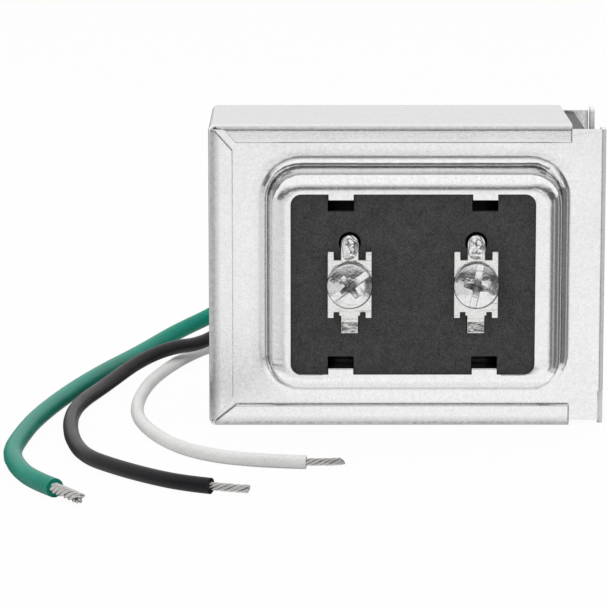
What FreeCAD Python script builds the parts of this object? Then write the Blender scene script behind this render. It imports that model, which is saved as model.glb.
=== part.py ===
"""Doorbell transformer: a laminated core clamped between two drawn steel covers by a folded wrap.

Millimetres. +Z is up, -Y is the terminal side, and the origin is under the middle of the body.
"""

import FreeCAD, Part
import Sketcher
import math
import os

SIZES = (
    # Sheet-metal wrap round the core
    ("left_room", 3.6, "Core to the wrap's left wall"),
    ("right_room", 2.3, "Core to the covers' turned flange"),
    ("height_room", 0.45, "Core to the wrap's top and bottom walls"),
    ("wrap_length", 54.3, "Length of the wrap's top and bottom walls"),
    ("sheet", 0.7, "Steel sheet thickness"),
    ("bend_radius", 1.1, "Outside radius of the folds"),
    ("hem", 3.0, "Top and bottom lips over a cover"),
    ("side_hem", 3.6, "Side lip over a cover"),
    ("mitre_drop", 1.2, "Side lip stops this far below the top lip"),
    ("mitre_step", 0.5, "Top lip stops this far inside the side lip"),
    ("mitre_tip", 2.6, "Upper mitre gapes to here along the top fold"),
    ("cover_clearance", 0.1, "Cover's edge to the wrap's wall"),
    # Drawn covers
    ("rim_width", 4.3, "Foot of the boss outside the opening, left and right"),
    ("rim_tall", 3.8, "Foot of the boss outside the opening, top and bottom"),
    ("boss_draft", 1.15, "Run of one boss wall over its depth"),
    ("boss_corner", 5.3, "Corner radius of the boss at its foot"),
    ("foot_radius", 1.2, "Rounding where the boss meets the flange"),
    ("shoulder_radius", 2.4, "Rounding at the top of the boss"),
    ("return_depth", 3.6, "Depth of the flange turned back at the right edge"),
    ("finger_root", 5.2, "Bend relief, height above the base"),
    ("finger_gap", 0.1, "Bend relief, width"),
    ("window_width", 36.2, "Opening for the terminals"),
    ("window_tall", 27.0, "Opening for the terminals"),
    ("window_corner", 1.6, "Corner radius of the opening"),
    ("tab_width", 3.7, "Tabs that hold the board"),
    ("tab_reach", 0.95, "Tabs, from the opening's edge"),
    ("tab_spacing", 21.3, "Between the tabs of a pair"),
    # Terminal board and terminals
    ("board_thickness", 1.6, "Black terminal board"),
    ("board_margin", 0.5, "Board behind the edge of the opening"),
    ("board_corner", 2.0, "Corner radius of the board"),
    ("slot_reach", 2.65, "Board slots, from the opening's edge"),
    ("fit", 0.1, "Clearance of one piece in another"),
    ("terminal_spacing", 18.7, "Between the two terminals"),
    ("terminal_width", 6.56, "Terminal plate"),
    ("terminal_tall", 9.95, "Terminal plate, ear to ear"),
    ("terminal_sheet", 0.8, "Terminal plate thickness"),
    ("ear_width", 0.95, "Corner ears"),
    ("ear_tall", 1.25, "Upper corner ears"),
    ("foot_rise", 0.35, "Lower edge of the plate above its lower ears"),
    ("notch_width", 0.75, "Notches beside the lower ears"),
    ("notch_tall", 0.9, "Notches beside the lower ears"),
    ("tongue_width", 2.6, "Terminal tongues"),
    ("upper_tongue", 3.75, "Soldered tongue"),
    ("lower_tongue", 2.65, "Joggled tongue"),
    ("joggle", 0.4, "Lower tongue steps back by this"),
    ("wire_hole", 3.3, "Hole in the board behind the soldered tongue"),
    ("solder_width", 2.2, "Solder lump"),
    ("solder_height", 0.9, "Solder lump"),
    # Terminal screws
    ("head_diameter", 6.8, "Pan head"),
    ("head_height", 2.2, "Pan head"),
    ("head_round", 1.3, "Rounding of the pan head"),
    ("thread_diameter", 3.4, "Screw thread"),
    ("thread_proud", 0.6, "Thread behind the board"),
    ("slot_width", 1.05, "Drive slot"),
    ("slot_depth", 1.0, "Drive slot"),
    ("cross_length", 3.9, "Cross recess"),
    ("cross_depth", 1.4, "Cross recess"),
    ("left_turn", 36.7, "Slot angle of the left screw"),
    ("right_turn", 79.5, "Slot angle of the right screw"),
    # Core and coil
    ("lamination", 8.7, "Lamination module: a side leg's width"),
    ("stack", 24.0, "Thickness of the laminated stack"),
    ("leg_clearance", 0.15, "Centre leg in the bobbin"),
    ("bobbin_wall", 0.9, "Bobbin tube and flanges"),
    ("bobbin_play", 0.2, "Bobbin between the yokes, each end"),
    ("winding_build", 3.0, "Thickness of the windings"),
    ("tape", 0.3, "Tape round the windings"),
    ("flange_lip", 0.3, "Bobbin flange outside the tape"),
    ("primary_length", 14.5, "Primary winding along the leg"),
    ("winding_corner", 2.6, "Corner radius of the windings"),
    ("magnet_wire", 0.9, "Secondary wire diameter"),
    ("fuse_diameter", 2.2, "Thermal fuse"),
    ("fuse_length", 8.0, "Thermal fuse"),
    ("fuse_drop", 7.0, "Thermal fuse below the middle"),
    # Hub, bushing and lead ends
    ("hub_diameter", 20.9, "Nipple that goes through the knockout"),
    ("hub_bore", 15.8, "Bore of the nipple"),
    ("hub_length", 10.0, "Nipple behind the rear cover"),
    ("hub_flange", 25.0, "Flange inside the rear cover"),
    ("hub_flange_thickness", 0.7, "Flange inside the rear cover"),
    ("stake_step", 0.2, "Bead that stakes the nipple in the rear cover, radius over the nipple's"),
    ("stake_height", 0.4, "Bead that stakes the nipple, behind the rear cover"),
    ("hub_chamfer", 0.8, "Lead-in at the nipple's end"),
    ("bushing_length", 5.0, "Insulating plug"),
    ("lead_circle", 3.9, "Leads from the hub's axis"),
    ("splice_diameter", 2.6, "Crimp sleeves"),
    ("splice_length", 6.0, "Crimp sleeves"),
    ("splice_offset", 9.0, "Crimp sleeves from the hub's axis"),
    ("lug_room", 0.9, "Ground lug's ring to the hub's flange"),
    ("lug_diameter", 5.2, "Ground lug's ring"),
    ("lug_sheet", 0.7, "Ground lug's thickness"),
    ("barrel_length", 3.2, "Ground lug's barrel"),
    ("rivet_diameter", 2.0, "Ground rivet's shank"),
    ("rivet_head", 3.6, "Ground rivet's heads"),
    ("rivet_head_height", 0.7, "Ground rivet's heads"),
    # Leads
    ("lead_room", 0.25, "Leads to the hub's flange above them"),
    ("lead_out", 7.5, "Straight run of each lead out of the bushing"),
    ("green_diameter", 2.7, "Green lead over its insulation"),
    ("black_diameter", 2.3, "Black lead over its insulation"),
    ("white_diameter", 2.0, "White lead over its insulation"),
    ("green_strands", 1.6, "Bare end of the green lead"),
    ("black_strands", 1.2, "Bare end of the black lead"),
    ("white_strands", 1.1, "Bare end of the white lead"),
)

PLACES = (
    ("case_height", "5 * Sizes.lamination + 2 * (Sizes.height_room + Sizes.sheet)"),
    ("boss_offset", "Sizes.sheet + Sizes.left_room + 3 * Sizes.lamination"),
    ("overall_width", "boss_offset + 3 * Sizes.lamination + Sizes.right_room + Sizes.sheet"),
    ("boss_width", "Sizes.window_width + 2 * Sizes.rim_width"),
    ("boss_tall", "Sizes.window_tall + 2 * Sizes.rim_tall"),
    ("coil_growth", "Sizes.bobbin_wall + Sizes.winding_build"),
    ("overhang", "Sizes.leg_clearance + coil_growth + Sizes.tape"),
    ("lead_space", "Sizes.flange_lip + Sizes.fit + Sizes.green_diameter + Sizes.lead_room"),
    ("boss_depth", "overhang + lead_space + Sizes.hub_flange_thickness"),
    ("left", "-overall_width / 2"),
    ("right", "overall_width / 2"),
    ("middle", "case_height / 2"),
    ("wrap_depth", "4 * Sizes.sheet + Sizes.stack"),
    ("proud", "boss_depth - 2 * Sizes.sheet + Sizes.terminal_sheet + Sizes.head_height"),
    ("behind", "wrap_depth - Sizes.sheet + boss_depth + Sizes.hub_length"),
    ("front", "(proud - behind) / 2"),
    ("back", "front + wrap_depth"),
    ("between", "front + wrap_depth / 2"),
    ("wrap_end", "left + Sizes.wrap_length"),
    ("boss_x", "left + boss_offset"),
    ("flange_front", "front + Sizes.sheet"),
    ("flange_back", "front + 2 * Sizes.sheet"),
    ("cover_left", "left + Sizes.sheet + Sizes.cover_clearance"),
    ("cover_low", "Sizes.sheet + Sizes.cover_clearance"),
    ("cover_high", "case_height - cover_low"),
    ("plateau", "flange_front - boss_depth"),
    ("board_front", "plateau + Sizes.sheet"),
    ("board_back", "board_front + Sizes.board_thickness"),
    ("terminal_front", "board_front - Sizes.terminal_sheet"),
    ("core_front", "flange_back"),
    ("core_back", "flange_back + Sizes.stack"),
    ("body_low", "middle - Sizes.terminal_tall / 2 + Sizes.foot_rise"),
    ("body_high", "middle + Sizes.terminal_tall / 2 - Sizes.ear_tall"),
    ("solder_z", "body_high + Sizes.upper_tongue - Sizes.tongue_width / 2"),
    ("tube_inside_x", "Sizes.lamination + Sizes.leg_clearance"),
    ("tube_inside_y", "Sizes.stack / 2 + Sizes.leg_clearance"),
    ("coil_back", "core_back + overhang"),
    ("bobbin_low", "middle - 1.5 * Sizes.lamination + Sizes.bobbin_play"),
    ("bobbin_high", "middle + 1.5 * Sizes.lamination - Sizes.bobbin_play"),
    ("primary_low", "bobbin_low + Sizes.bobbin_wall"),
    ("primary_high", "primary_low + Sizes.primary_length"),
    ("secondary_low", "primary_high + Sizes.bobbin_wall"),
    ("secondary_high", "bobbin_high - Sizes.bobbin_wall"),
    ("rear_plateau", "back - Sizes.sheet + boss_depth"),
    ("rear_inside", "rear_plateau - Sizes.sheet"),
    ("hub_end", "rear_plateau + Sizes.hub_length"),
    ("bushing_start", "hub_end - Sizes.bushing_length"),
    ("tail_y", "coil_back + Sizes.flange_lip + Sizes.fit + Sizes.green_diameter / 2"),
    ("lug_offset", "Sizes.hub_flange / 2 + Sizes.lug_room + Sizes.lug_diameter / 2"),
    ("barrel_end", "Sizes.hub_flange / 2 + Sizes.lug_room / 2 + Sizes.lug_sheet / 2"),
)

doc = FreeCAD.newDocument("doorbell_transformer")


def fill_sheet(name, rows):
    """One row a value: its text in column A and the value, with its alias, in column B."""
    sheet = doc.addObject("Spreadsheet::Sheet", name)
    for row, (alias, value, text) in enumerate(rows, 1):
        sheet.set(f"A{row}", text)
        sheet.set(f"B{row}", str(value))
        sheet.setAlias(f"B{row}", alias)
    doc.recompute()
    return sheet


sizes = fill_sheet("Sizes", SIZES)
places = fill_sheet("Places", [(alias, f"={formula}", alias) for alias, formula in PLACES])


def number(expression):
    """The value of an expression on the two sheets."""
    return float(sizes.evalExpression(str(expression)))


def spread(middle, width):
    """The two ends of a width about its middle, as expressions."""
    return f"{middle} - ({width}) / 2", f"{middle} + ({width}) / 2"


def new_body(label):
    body = doc.addObject("PartDesign::Body", label)
    body.Label = label
    return body


def new_sketch(body, plane, at):
    """A sketch on one of the body's origin planes, moved to a place along that plane's normal."""
    sketch = body.newObject("Sketcher::SketchObject", f"{body.Name}_sketch")
    origin = [f for f in body.Origin.OriginFeatures if f.Role == f"{plane}_Plane"][0]
    sketch.AttachmentSupport = (origin, [""])
    sketch.MapMode = "FlatFace"
    sign = "-" if plane == "XZ" else ""
    sketch.setExpression("AttachmentOffset.Base.z", f"{sign}({at})")
    return sketch


def measure(sketch, kind, target, expression):
    """A driving dimension of the sketch, bound to an expression."""
    index = sketch.addConstraint(Sketcher.Constraint(kind, *target, number(expression)))
    name = f"size{index}"
    sketch.renameConstraint(index, name)
    sketch.setExpression(f"Constraints.{name}", str(expression))


def pin_point(sketch, line, end, point):
    for kind, expression in zip(("DistanceX", "DistanceY"), point):
        measure(sketch, kind, (-1, 1, line, end), expression)


def polygon(sketch, points):
    """A closed outline whose corners are all bound to expressions."""
    corners = [FreeCAD.Vector(number(x), number(y), 0) for x, y in points]
    count = len(corners)
    lines = [
        sketch.addGeometry(Part.LineSegment(corners[i], corners[(i + 1) % count])) for i in range(count)
    ]
    for i, line in enumerate(lines):
        sketch.addConstraint(Sketcher.Constraint("Coincident", line, 2, lines[(i + 1) % count], 1))
        pin_point(sketch, line, 1, points[i])


def rectangle(sketch, x, y):
    polygon(sketch, [(x[0], y[0]), (x[1], y[0]), (x[1], y[1]), (x[0], y[1])])


def rounded_rectangle(sketch, x, y, radius):
    """Four lines and four tangent arcs, with its sides and radius bound to expressions."""
    x0, x1 = number(x[0]), number(x[1])
    y0, y1 = number(y[0]), number(y[1])
    r = number(radius)
    vector = FreeCAD.Vector
    sides = (
        ((x0 + r, y0), (x1 - r, y0)),
        ((x1, y0 + r), (x1, y1 - r)),
        ((x1 - r, y1), (x0 + r, y1)),
        ((x0, y1 - r), (x0, y0 + r)),
    )
    centres = ((x1 - r, y0 + r), (x1 - r, y1 - r), (x0 + r, y1 - r), (x0 + r, y0 + r))
    lines = [sketch.addGeometry(Part.LineSegment(vector(*a, 0), vector(*b, 0))) for a, b in sides]
    arcs = []
    for quarter, centre in enumerate(centres, 3):
        circle = Part.Circle(vector(*centre, 0), vector(0, 0, 1), r)
        start = quarter * math.pi / 2
        arcs.append(sketch.addGeometry(Part.ArcOfCircle(circle, start, start + math.pi / 2)))
    for i in range(4):
        sketch.addConstraint(Sketcher.Constraint("Tangent", lines[i], 2, arcs[i], 1))
        sketch.addConstraint(Sketcher.Constraint("Tangent", arcs[i], 2, lines[(i + 1) % 4], 1))
        sketch.addConstraint(Sketcher.Constraint("Vertical" if i % 2 else "Horizontal", lines[i]))
    for arc in arcs[1:]:
        sketch.addConstraint(Sketcher.Constraint("Equal", arcs[0], arc))
    measure(sketch, "Radius", (arcs[0],), radius)
    measure(sketch, "DistanceY", (-1, 1, lines[0], 1), y[0])
    measure(sketch, "DistanceX", (-1, 1, lines[1], 1), x[1])
    measure(sketch, "DistanceY", (-1, 1, lines[2], 1), y[1])
    measure(sketch, "DistanceX", (-1, 1, lines[3], 1), x[0])


def circle(sketch, x, y, diameter):
    centre = FreeCAD.Vector(number(x), number(y), 0)
    index = sketch.addGeometry(Part.Circle(centre, FreeCAD.Vector(0, 0, 1), number(diameter) / 2))
    pin_point(sketch, index, 3, (x, y))
    measure(sketch, "Diameter", (index,), diameter)


def pad(sketch, length, towards=1):
    """Adds the sketch's outline, carried along the axis that is its normal."""
    body = sketch.getParentGeoFeatureGroup()
    feature = body.newObject("PartDesign::Pad", f"{body.Name}_pad")
    feature.Profile = sketch
    feature.setExpression("Length", str(length))
    feature.Reversed = (towards > 0) == (sketch.AttachmentSupport[0][0].Role == "XZ_Plane")
    doc.recompute()
    return feature


def pocket(sketch, length, towards=1):
    """Cuts the sketch's outline, carried along the axis that is its normal."""
    body = sketch.getParentGeoFeatureGroup()
    before = body.Tip.Shape.Volume
    feature = body.newObject("PartDesign::Pocket", f"{body.Name}_pocket")
    feature.Profile = sketch
    feature.setExpression("Length", str(length))
    feature.Reversed = (towards > 0) != (sketch.AttachmentSupport[0][0].Role == "XZ_Plane")
    doc.recompute()
    if not feature.Shape.Volume < before:
        raise RuntimeError(f"{feature.Name} cuts nothing")
    return feature


def revolve(sketch):
    """Turns the sketch's outline about its own vertical axis."""
    body = sketch.getParentGeoFeatureGroup()
    feature = body.newObject("PartDesign::Revolution", f"{body.Name}_revolution")
    feature.Profile = sketch
    feature.ReferenceAxis = (sketch, ["V_Axis"])
    feature.Angle = 360
    doc.recompute()
    return feature


def loft(kind, first, second):
    """Joins two outlines by straight walls, as an AdditiveLoft or a SubtractiveLoft."""
    body = first.getParentGeoFeatureGroup()
    feature = body.newObject(f"PartDesign::{kind}", f"{body.Name}_loft")
    feature.Profile = first
    feature.Sections = [second]
    feature.Ruled = True
    doc.recompute()
    return feature


def on_plane(edge, axis, place):
    """Whether an edge lies in the plane where that axis has that value."""
    box = edge.BoundBox
    low, high = getattr(box, f"{axis}Min"), getattr(box, f"{axis}Max")
    return abs(low - place) < 1e-4 and abs(high - place) < 1e-4


def fillet(body, radius, test):
    """Rounds the edges of the body's last feature that pass a test."""
    base = body.Tip
    names = [f"Edge{i}" for i, edge in enumerate(base.Shape.Edges, 1) if test(edge)]
    feature = body.newObject("PartDesign::Fillet", f"{body.Name}_fillet")
    feature.Base = (base, names)
    feature.setExpression("Radius", str(radius))
    doc.recompute()
    return feature


def place(part, x="0", y="0", z="0"):
    for axis, expression in (("x", x), ("y", y), ("z", z)):
        part.setExpression(f"Placement.Base.{axis}", expression)


def group(label, pieces):
    compound = doc.addObject("Part::Compound", label)
    compound.Label = label
    compound.Links = pieces
    doc.recompute()
    return compound


SHEET = "Sizes.sheet"
FIT = "Sizes.fit"
MIDDLE = "Places.middle"
BOSS_X = "Places.boss_x"
# Pockets that must break out run this far past the piece.
THROUGH = "2 * Places.overall_width"


def case_wrap():
    """The band round the core: three walls, and lips at both ends that hold the covers."""
    body = new_body("case_wrap")
    left, front, back = (number(f"Places.{name}") for name in ("left", "front", "back"))
    end, high = number("Places.wrap_end"), number("Places.case_height")
    outline = new_sketch(body, "XZ", "Places.front")
    rectangle(outline, ("Places.left", "Places.wrap_end"), ("0", "Places.case_height"))
    pad(outline, "Places.wrap_depth")

    def folded(edge):
        planes = (("X", left), ("Z", 0), ("Z", high), ("Y", front), ("Y", back))
        return not on_plane(edge, "X", end) and sum(on_plane(edge, *plane) for plane in planes) == 2

    fillet(body, "Sizes.bend_radius", folded)
    hollow = new_sketch(body, "YZ", "Places.wrap_end")
    rectangle(
        hollow,
        ("Places.flange_front", f"Places.back - {SHEET}"),
        (SHEET, f"Places.case_height - {SHEET}"),
    )
    pocket(hollow, f"Sizes.wrap_length - {SHEET}", -1)
    opening = new_sketch(body, "XZ", f"Places.front - {SHEET}")
    hem_edge = "Places.left + Sizes.side_hem"
    rectangle(
        opening,
        (hem_edge, "Places.wrap_end + Sizes.sheet"),
        ("Sizes.hem", "Places.case_height - Sizes.hem"),
    )
    pocket(opening, THROUGH)
    for at, towards in (("Places.front", 1), ("Places.back", -1)):
        mitre = new_sketch(body, "XZ", at)
        gape = ("Places.left + Sizes.mitre_tip", "Places.case_height - Sizes.bend_radius")
        for base, up, tip in (("0", "+", []), ("Places.case_height", "-", [gape])):
            polygon(
                mitre,
                [
                    ("Places.left + Sizes.bend_radius / 3", f"{base} {up} Sizes.bend_radius / 3"),
                    *tip,
                    (f"{hem_edge} + Sizes.mitre_step", f"{base} {up} Sizes.hem"),
                    (f"{hem_edge} + Sizes.mitre_step", f"{base} {up} (Sizes.hem + Sizes.mitre_drop)"),
                    (hem_edge, f"{base} {up} (Sizes.hem + Sizes.mitre_drop)"),
                ],
            )
        pocket(mitre, "Sizes.bend_radius", towards)
    return body


def boss_outline(body, at, shrink):
    """The boss's outline at one depth, smaller all round than at the foot of the boss."""
    outline = new_sketch(body, "XZ", at)
    rounded_rectangle(
        outline,
        spread(BOSS_X, f"Places.boss_width - 2 * ({shrink})"),
        spread(MIDDLE, f"Places.boss_tall - 2 * ({shrink})"),
        f"Sizes.boss_corner - ({shrink})",
    )
    return outline


def drawn_cover(label):
    """A cover: flat flange, raised boss, and a flange turned back at the right with a finger."""
    body = new_body(label)
    right, left = number("Places.right"), number("Places.cover_left")

    def round_ring(radius, at):
        level = number(at)

        def ring_edge(edge):
            box = edge.BoundBox
            return on_plane(edge, "Y", level) and box.XMin > left + 1e-3 and box.XMax < right - 1

        fillet(body, radius, ring_edge)

    inside = f"Places.right - {SHEET}"
    outline = new_sketch(body, "XZ", "Places.flange_front")
    rectangle(outline, ("Places.cover_left", "Places.right"), ("Places.cover_low", "Places.cover_high"))
    pad(outline, SHEET)
    loft(
        "AdditiveLoft",
        boss_outline(body, "Places.flange_front", "0"),
        boss_outline(body, "Places.plateau", "Sizes.boss_draft"),
    )
    round_ring("Sizes.foot_radius", "Places.flange_front")
    round_ring("Sizes.shoulder_radius", "Places.plateau")
    wall = "Sizes.sheet * (1 - Sizes.boss_draft / Places.boss_depth)"
    loft(
        "SubtractiveLoft",
        boss_outline(body, "Places.flange_back", wall),
        boss_outline(body, f"Places.plateau + {SHEET}", f"Sizes.boss_draft + {wall}"),
    )
    round_ring(f"Sizes.foot_radius + {SHEET}", "Places.flange_back")
    round_ring(f"Sizes.shoulder_radius - {SHEET}", f"Places.plateau + {SHEET}")
    turned = new_sketch(body, "XZ", "Places.flange_front")
    rectangle(turned, (inside, "Places.right"), ("Places.cover_low", "Places.cover_high"))
    pad(turned, "Sizes.return_depth")
    flange = number("Places.flange_front")
    fillet(
        body,
        "Sizes.bend_radius",
        lambda edge: on_plane(edge, "Y", flange) and on_plane(edge, "X", right),
    )
    relief = new_sketch(body, "XZ", f"Places.flange_front - {SHEET}")
    rectangle(relief, (f"{inside} - Sizes.finger_gap", inside), ("-Sizes.sheet", "Sizes.finger_root"))
    pocket(relief, "Sizes.return_depth")
    finger = new_sketch(body, "YZ", inside)
    rounded_rectangle(
        finger,
        ("Places.flange_front + Sizes.sheet", "Places.flange_front + Sizes.return_depth"),
        ("0", "Sizes.finger_root"),
        "Sizes.bend_radius",
    )
    pad(finger, SHEET)
    return body


def front_cover():
    body = drawn_cover("front_cover")
    window = new_sketch(body, "XZ", "Places.plateau - Sizes.sheet")
    rounded_rectangle(
        window,
        spread(BOSS_X, "Sizes.window_width"),
        spread(MIDDLE, "Sizes.window_tall"),
        "Sizes.window_corner",
    )
    pocket(window, "3 * Sizes.sheet")
    tabs = new_sketch(body, "XZ", "Places.plateau")
    legs = new_sketch(body, "XZ", "Places.plateau")
    for side in ("-", "+"):
        x = spread(f"({BOSS_X} {side} Sizes.tab_spacing / 2)", "Sizes.tab_width")
        for up in ("-", "+"):
            edge = f"{MIDDLE} {up} Sizes.window_tall / 2"
            tip = f"{edge} {'+' if up == '-' else '-'} Sizes.tab_reach"
            heel = f"{edge} {'+' if up == '-' else '-'} (Sizes.tab_reach - Sizes.sheet)"
            root = f"{edge} {up} Sizes.sheet"
            rectangle(tabs, x, (root, tip))
            rectangle(legs, x, (heel, tip))
    pad(tabs, SHEET)
    pad(legs, "Sizes.sheet + Sizes.board_thickness + Sizes.sheet")
    plateau = number("Places.plateau")
    tips = [number(f"{MIDDLE} {sign} (Sizes.window_tall / 2 - Sizes.tab_reach)") for sign in "+-"]
    fillet(
        body,
        "0.8 * Sizes.sheet",
        lambda edge: on_plane(edge, "Y", plateau) and any(on_plane(edge, "Z", tip) for tip in tips),
    )
    return body


def rear_cover():
    """The same stamping turned over, with holes for the hub and the ground rivet."""
    body = drawn_cover("rear_cover")
    holes = new_sketch(body, "XZ", "Places.plateau - Sizes.sheet")
    circle(holes, BOSS_X, MIDDLE, f"Sizes.hub_diameter + 2 * Sizes.stake_step + 2 * {FIT}")
    circle(
        holes,
        f"{BOSS_X} + Places.lug_offset",
        f"{MIDDLE} - Sizes.lead_circle",
        f"Sizes.rivet_diameter + 2 * {FIT}",
    )
    pocket(holes, "3 * Sizes.sheet")
    body.Placement.Rotation = FreeCAD.Rotation(FreeCAD.Vector(1, 0, 0), 180)
    place(body, "0", "2 * Places.between", "Places.case_height")
    return body


SIDES = ("left", "right")
TERMINAL_X = [f"({BOSS_X} {side} Sizes.terminal_spacing / 2)" for side in ("-", "+")]


def terminal_board():
    body = new_body("terminal_board")
    outline = new_sketch(body, "XZ", "Places.board_front")
    rounded_rectangle(
        outline,
        spread(BOSS_X, "Sizes.window_width + 2 * Sizes.board_margin"),
        spread(MIDDLE, "Sizes.window_tall + 2 * Sizes.board_margin"),
        "Sizes.board_corner",
    )
    pad(outline, "Sizes.board_thickness")
    cuts = new_sketch(body, "XZ", "Places.board_front - Sizes.sheet")
    for side in ("-", "+"):
        x = spread(f"({BOSS_X} {side} Sizes.tab_spacing / 2)", f"Sizes.tab_width + 2 * {FIT}")
        for up, back in (("-", "+"), ("+", "-")):
            edge = f"{MIDDLE} {up} Sizes.window_tall / 2"
            rectangle(cuts, x, (edge, f"{edge} {back} Sizes.slot_reach"))
    for x in TERMINAL_X:
        circle(cuts, x, MIDDLE, f"Sizes.thread_diameter + 2 * {FIT}")
        circle(cuts, x, "Places.solder_z", "Sizes.wire_hole")
        rectangle(
            cuts,
            spread(x, f"Sizes.tongue_width + 2 * {FIT}"),
            (f"Places.body_low - Sizes.lower_tongue - {FIT}", f"Places.body_low + {FIT}"),
        )
    pocket(cuts, "Sizes.sheet + 2 * Sizes.board_thickness")
    return body


def terminal(label, x):
    """A plate with four corner ears, a round tongue above and a joggled tongue below."""
    body = new_body(label)
    plate = new_sketch(body, "XZ", "Places.terminal_front")
    outer = spread(x, "Sizes.terminal_width")
    inner = spread(x, "Sizes.terminal_width - 2 * Sizes.ear_width")
    notch = spread(x, "Sizes.terminal_width - 2 * Sizes.ear_width - 2 * Sizes.notch_width")
    tongue = spread(x, "Sizes.tongue_width")
    low, high = spread(MIDDLE, "Sizes.terminal_tall")
    notch_top = f"{low} + Sizes.notch_tall"
    polygon(
        plate,
        [
            (outer[0], low),
            (inner[0], low),
            (inner[0], notch_top),
            (notch[0], notch_top),
            (notch[0], "Places.body_low"),
            (notch[1], "Places.body_low"),
            (notch[1], notch_top),
            (inner[1], notch_top),
            (inner[1], low),
            (outer[1], low),
            (outer[1], high),
            (inner[1], high),
            (inner[1], "Places.body_high"),
            (tongue[1], "Places.body_high"),
            (tongue[1], "Places.body_high + Sizes.upper_tongue"),
            (tongue[0], "Places.body_high + Sizes.upper_tongue"),
            (tongue[0], "Places.body_high"),
            (inner[0], "Places.body_high"),
            (inner[0], high),
            (outer[0], high),
        ],
    )
    pad(plate, "Sizes.terminal_sheet")
    top = number("Places.body_high + Sizes.upper_tongue")
    tip = [number(side) for side in tongue]
    fillet(
        body,
        "0.48 * Sizes.tongue_width",
        lambda edge: on_plane(edge, "Z", top) and any(on_plane(edge, "X", side) for side in tip),
    )
    step = new_sketch(body, "XZ", "Places.terminal_front + Sizes.joggle")
    rectangle(step, tongue, ("Places.body_low - Sizes.lower_tongue", "Places.body_low"))
    pad(step, "Sizes.terminal_sheet")
    root = new_sketch(body, "XZ", "Places.terminal_front")
    rectangle(root, tongue, ("Places.body_low - Sizes.joggle", "Places.body_low"))
    pad(root, "Sizes.terminal_sheet")
    hole = new_sketch(body, "XZ", "Places.terminal_front - Sizes.sheet")
    circle(hole, x, MIDDLE, f"Sizes.thread_diameter + 2 * {FIT}")
    pocket(hole, "Sizes.sheet + 2 * Sizes.terminal_sheet")
    return body


def terminal_screw(name, x, turn):
    """A pan head with a combination drive on a short shank, turned about its own axis."""
    body = new_body(name)
    half = new_sketch(body, "XY", "0")
    reach = "Sizes.terminal_sheet + Sizes.board_thickness + Sizes.thread_proud"
    polygon(
        half,
        [
            ("0", "-Sizes.head_height"),
            ("Sizes.head_diameter / 2", "-Sizes.head_height"),
            ("Sizes.head_diameter / 2", "0"),
            ("Sizes.thread_diameter / 2", "0"),
            ("Sizes.thread_diameter / 2", reach),
            ("0", reach),
        ],
    )
    revolve(half)
    top = -number("Sizes.head_height")
    fillet(body, "Sizes.head_round", lambda edge: on_plane(edge, "Y", top))
    slot = new_sketch(body, "XZ", "-Sizes.head_height")
    rectangle(slot, spread("0", "2 * Sizes.head_diameter"), spread("0", "Sizes.slot_width"))
    pocket(slot, "Sizes.slot_depth")
    for wide, tall in (("slot_width", "cross_length"), ("cross_length", "slot_width")):
        arm = new_sketch(body, "XZ", "-Sizes.head_height")
        rectangle(arm, spread("0", f"Sizes.{wide}"), spread("0", f"Sizes.{tall}"))
        pocket(arm, "Sizes.cross_depth")
    body.Placement.Rotation = FreeCAD.Rotation(FreeCAD.Vector(0, -1, 0), number(turn))
    body.setExpression("Placement.Rotation.Angle", turn)
    place(body, x, "Places.terminal_front", MIDDLE)
    return body


def solder_lump(name, x):
    """A low dome on the front of a tongue."""
    body = new_body(name)
    half = new_sketch(body, "XY", "0")
    polygon(
        half,
        [
            ("0", "-Sizes.solder_height"),
            ("Sizes.solder_width / 4", "-Sizes.solder_height"),
            ("Sizes.solder_width / 2", "0"),
            ("0", "0"),
        ],
    )
    revolve(half)
    top = -number("Sizes.solder_height")
    fillet(body, "Sizes.solder_width / 4", lambda edge: on_plane(edge, "Y", top))
    place(body, x, "Places.terminal_front", "Places.solder_z")
    return body


def core_stack(label, points):
    body = new_body(label)
    outline = new_sketch(body, "XZ", "Places.core_front")
    polygon(
        outline,
        [(f"{BOSS_X} + {x} * Sizes.lamination", f"{MIDDLE} + {z} * Sizes.lamination") for x, z in points],
    )
    pad(outline, "Sizes.stack")
    return body


def core_e_stack():
    """Yoke below and three legs, in lamination modules from the middle of the core."""
    right = [(3, -2.5), (3, 1.5), (2, 1.5), (2, -1.5), (1, -1.5), (1, 1.5)]
    left = [(-x, z) for x, z in reversed(right)]
    return core_stack("core_e_stack", right + left)


def core_i_stack():
    """The yoke that closes the legs."""
    return core_stack("core_i_stack", [(-3, 1.5), (3, 1.5), (3, 2.5), (-3, 2.5)])


def ring(body, inside, outside, low, high, corner=None):
    """A rectangular ring round the centre leg; inside and outside are added to the bobbin's bore."""
    outline = new_sketch(body, "XY", low)
    x, y = ([f"{m} - ({b} + {outside})", f"{m} + ({b} + {outside})"] for m, b in BORE)
    if corner:
        rounded_rectangle(outline, x, y, corner)
    else:
        rectangle(outline, x, y)
    x, y = ([f"{m} - ({b} + {inside})", f"{m} + ({b} + {inside})"] for m, b in BORE)
    rectangle(outline, x, y)
    pad(outline, f"{high} - ({low})")


BORE = ((BOSS_X, "Places.tube_inside_x"), ("Places.between", "Places.tube_inside_y"))
COIL = "Places.coil_growth"
WALL = "Sizes.bobbin_wall"
CORNER = "Sizes.winding_corner"


def bobbin():
    """A tube on the centre leg with a flange at each end and one between the windings."""
    body = new_body("bobbin")
    ring(body, "0", WALL, "Places.bobbin_low", "Places.bobbin_high")
    lip = f"{COIL} + Sizes.tape + Sizes.flange_lip"
    for low in ("Places.bobbin_low", "Places.primary_high", "Places.secondary_high"):
        ring(body, "0", lip, low, f"{low} + {WALL}", CORNER)
    return body


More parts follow.
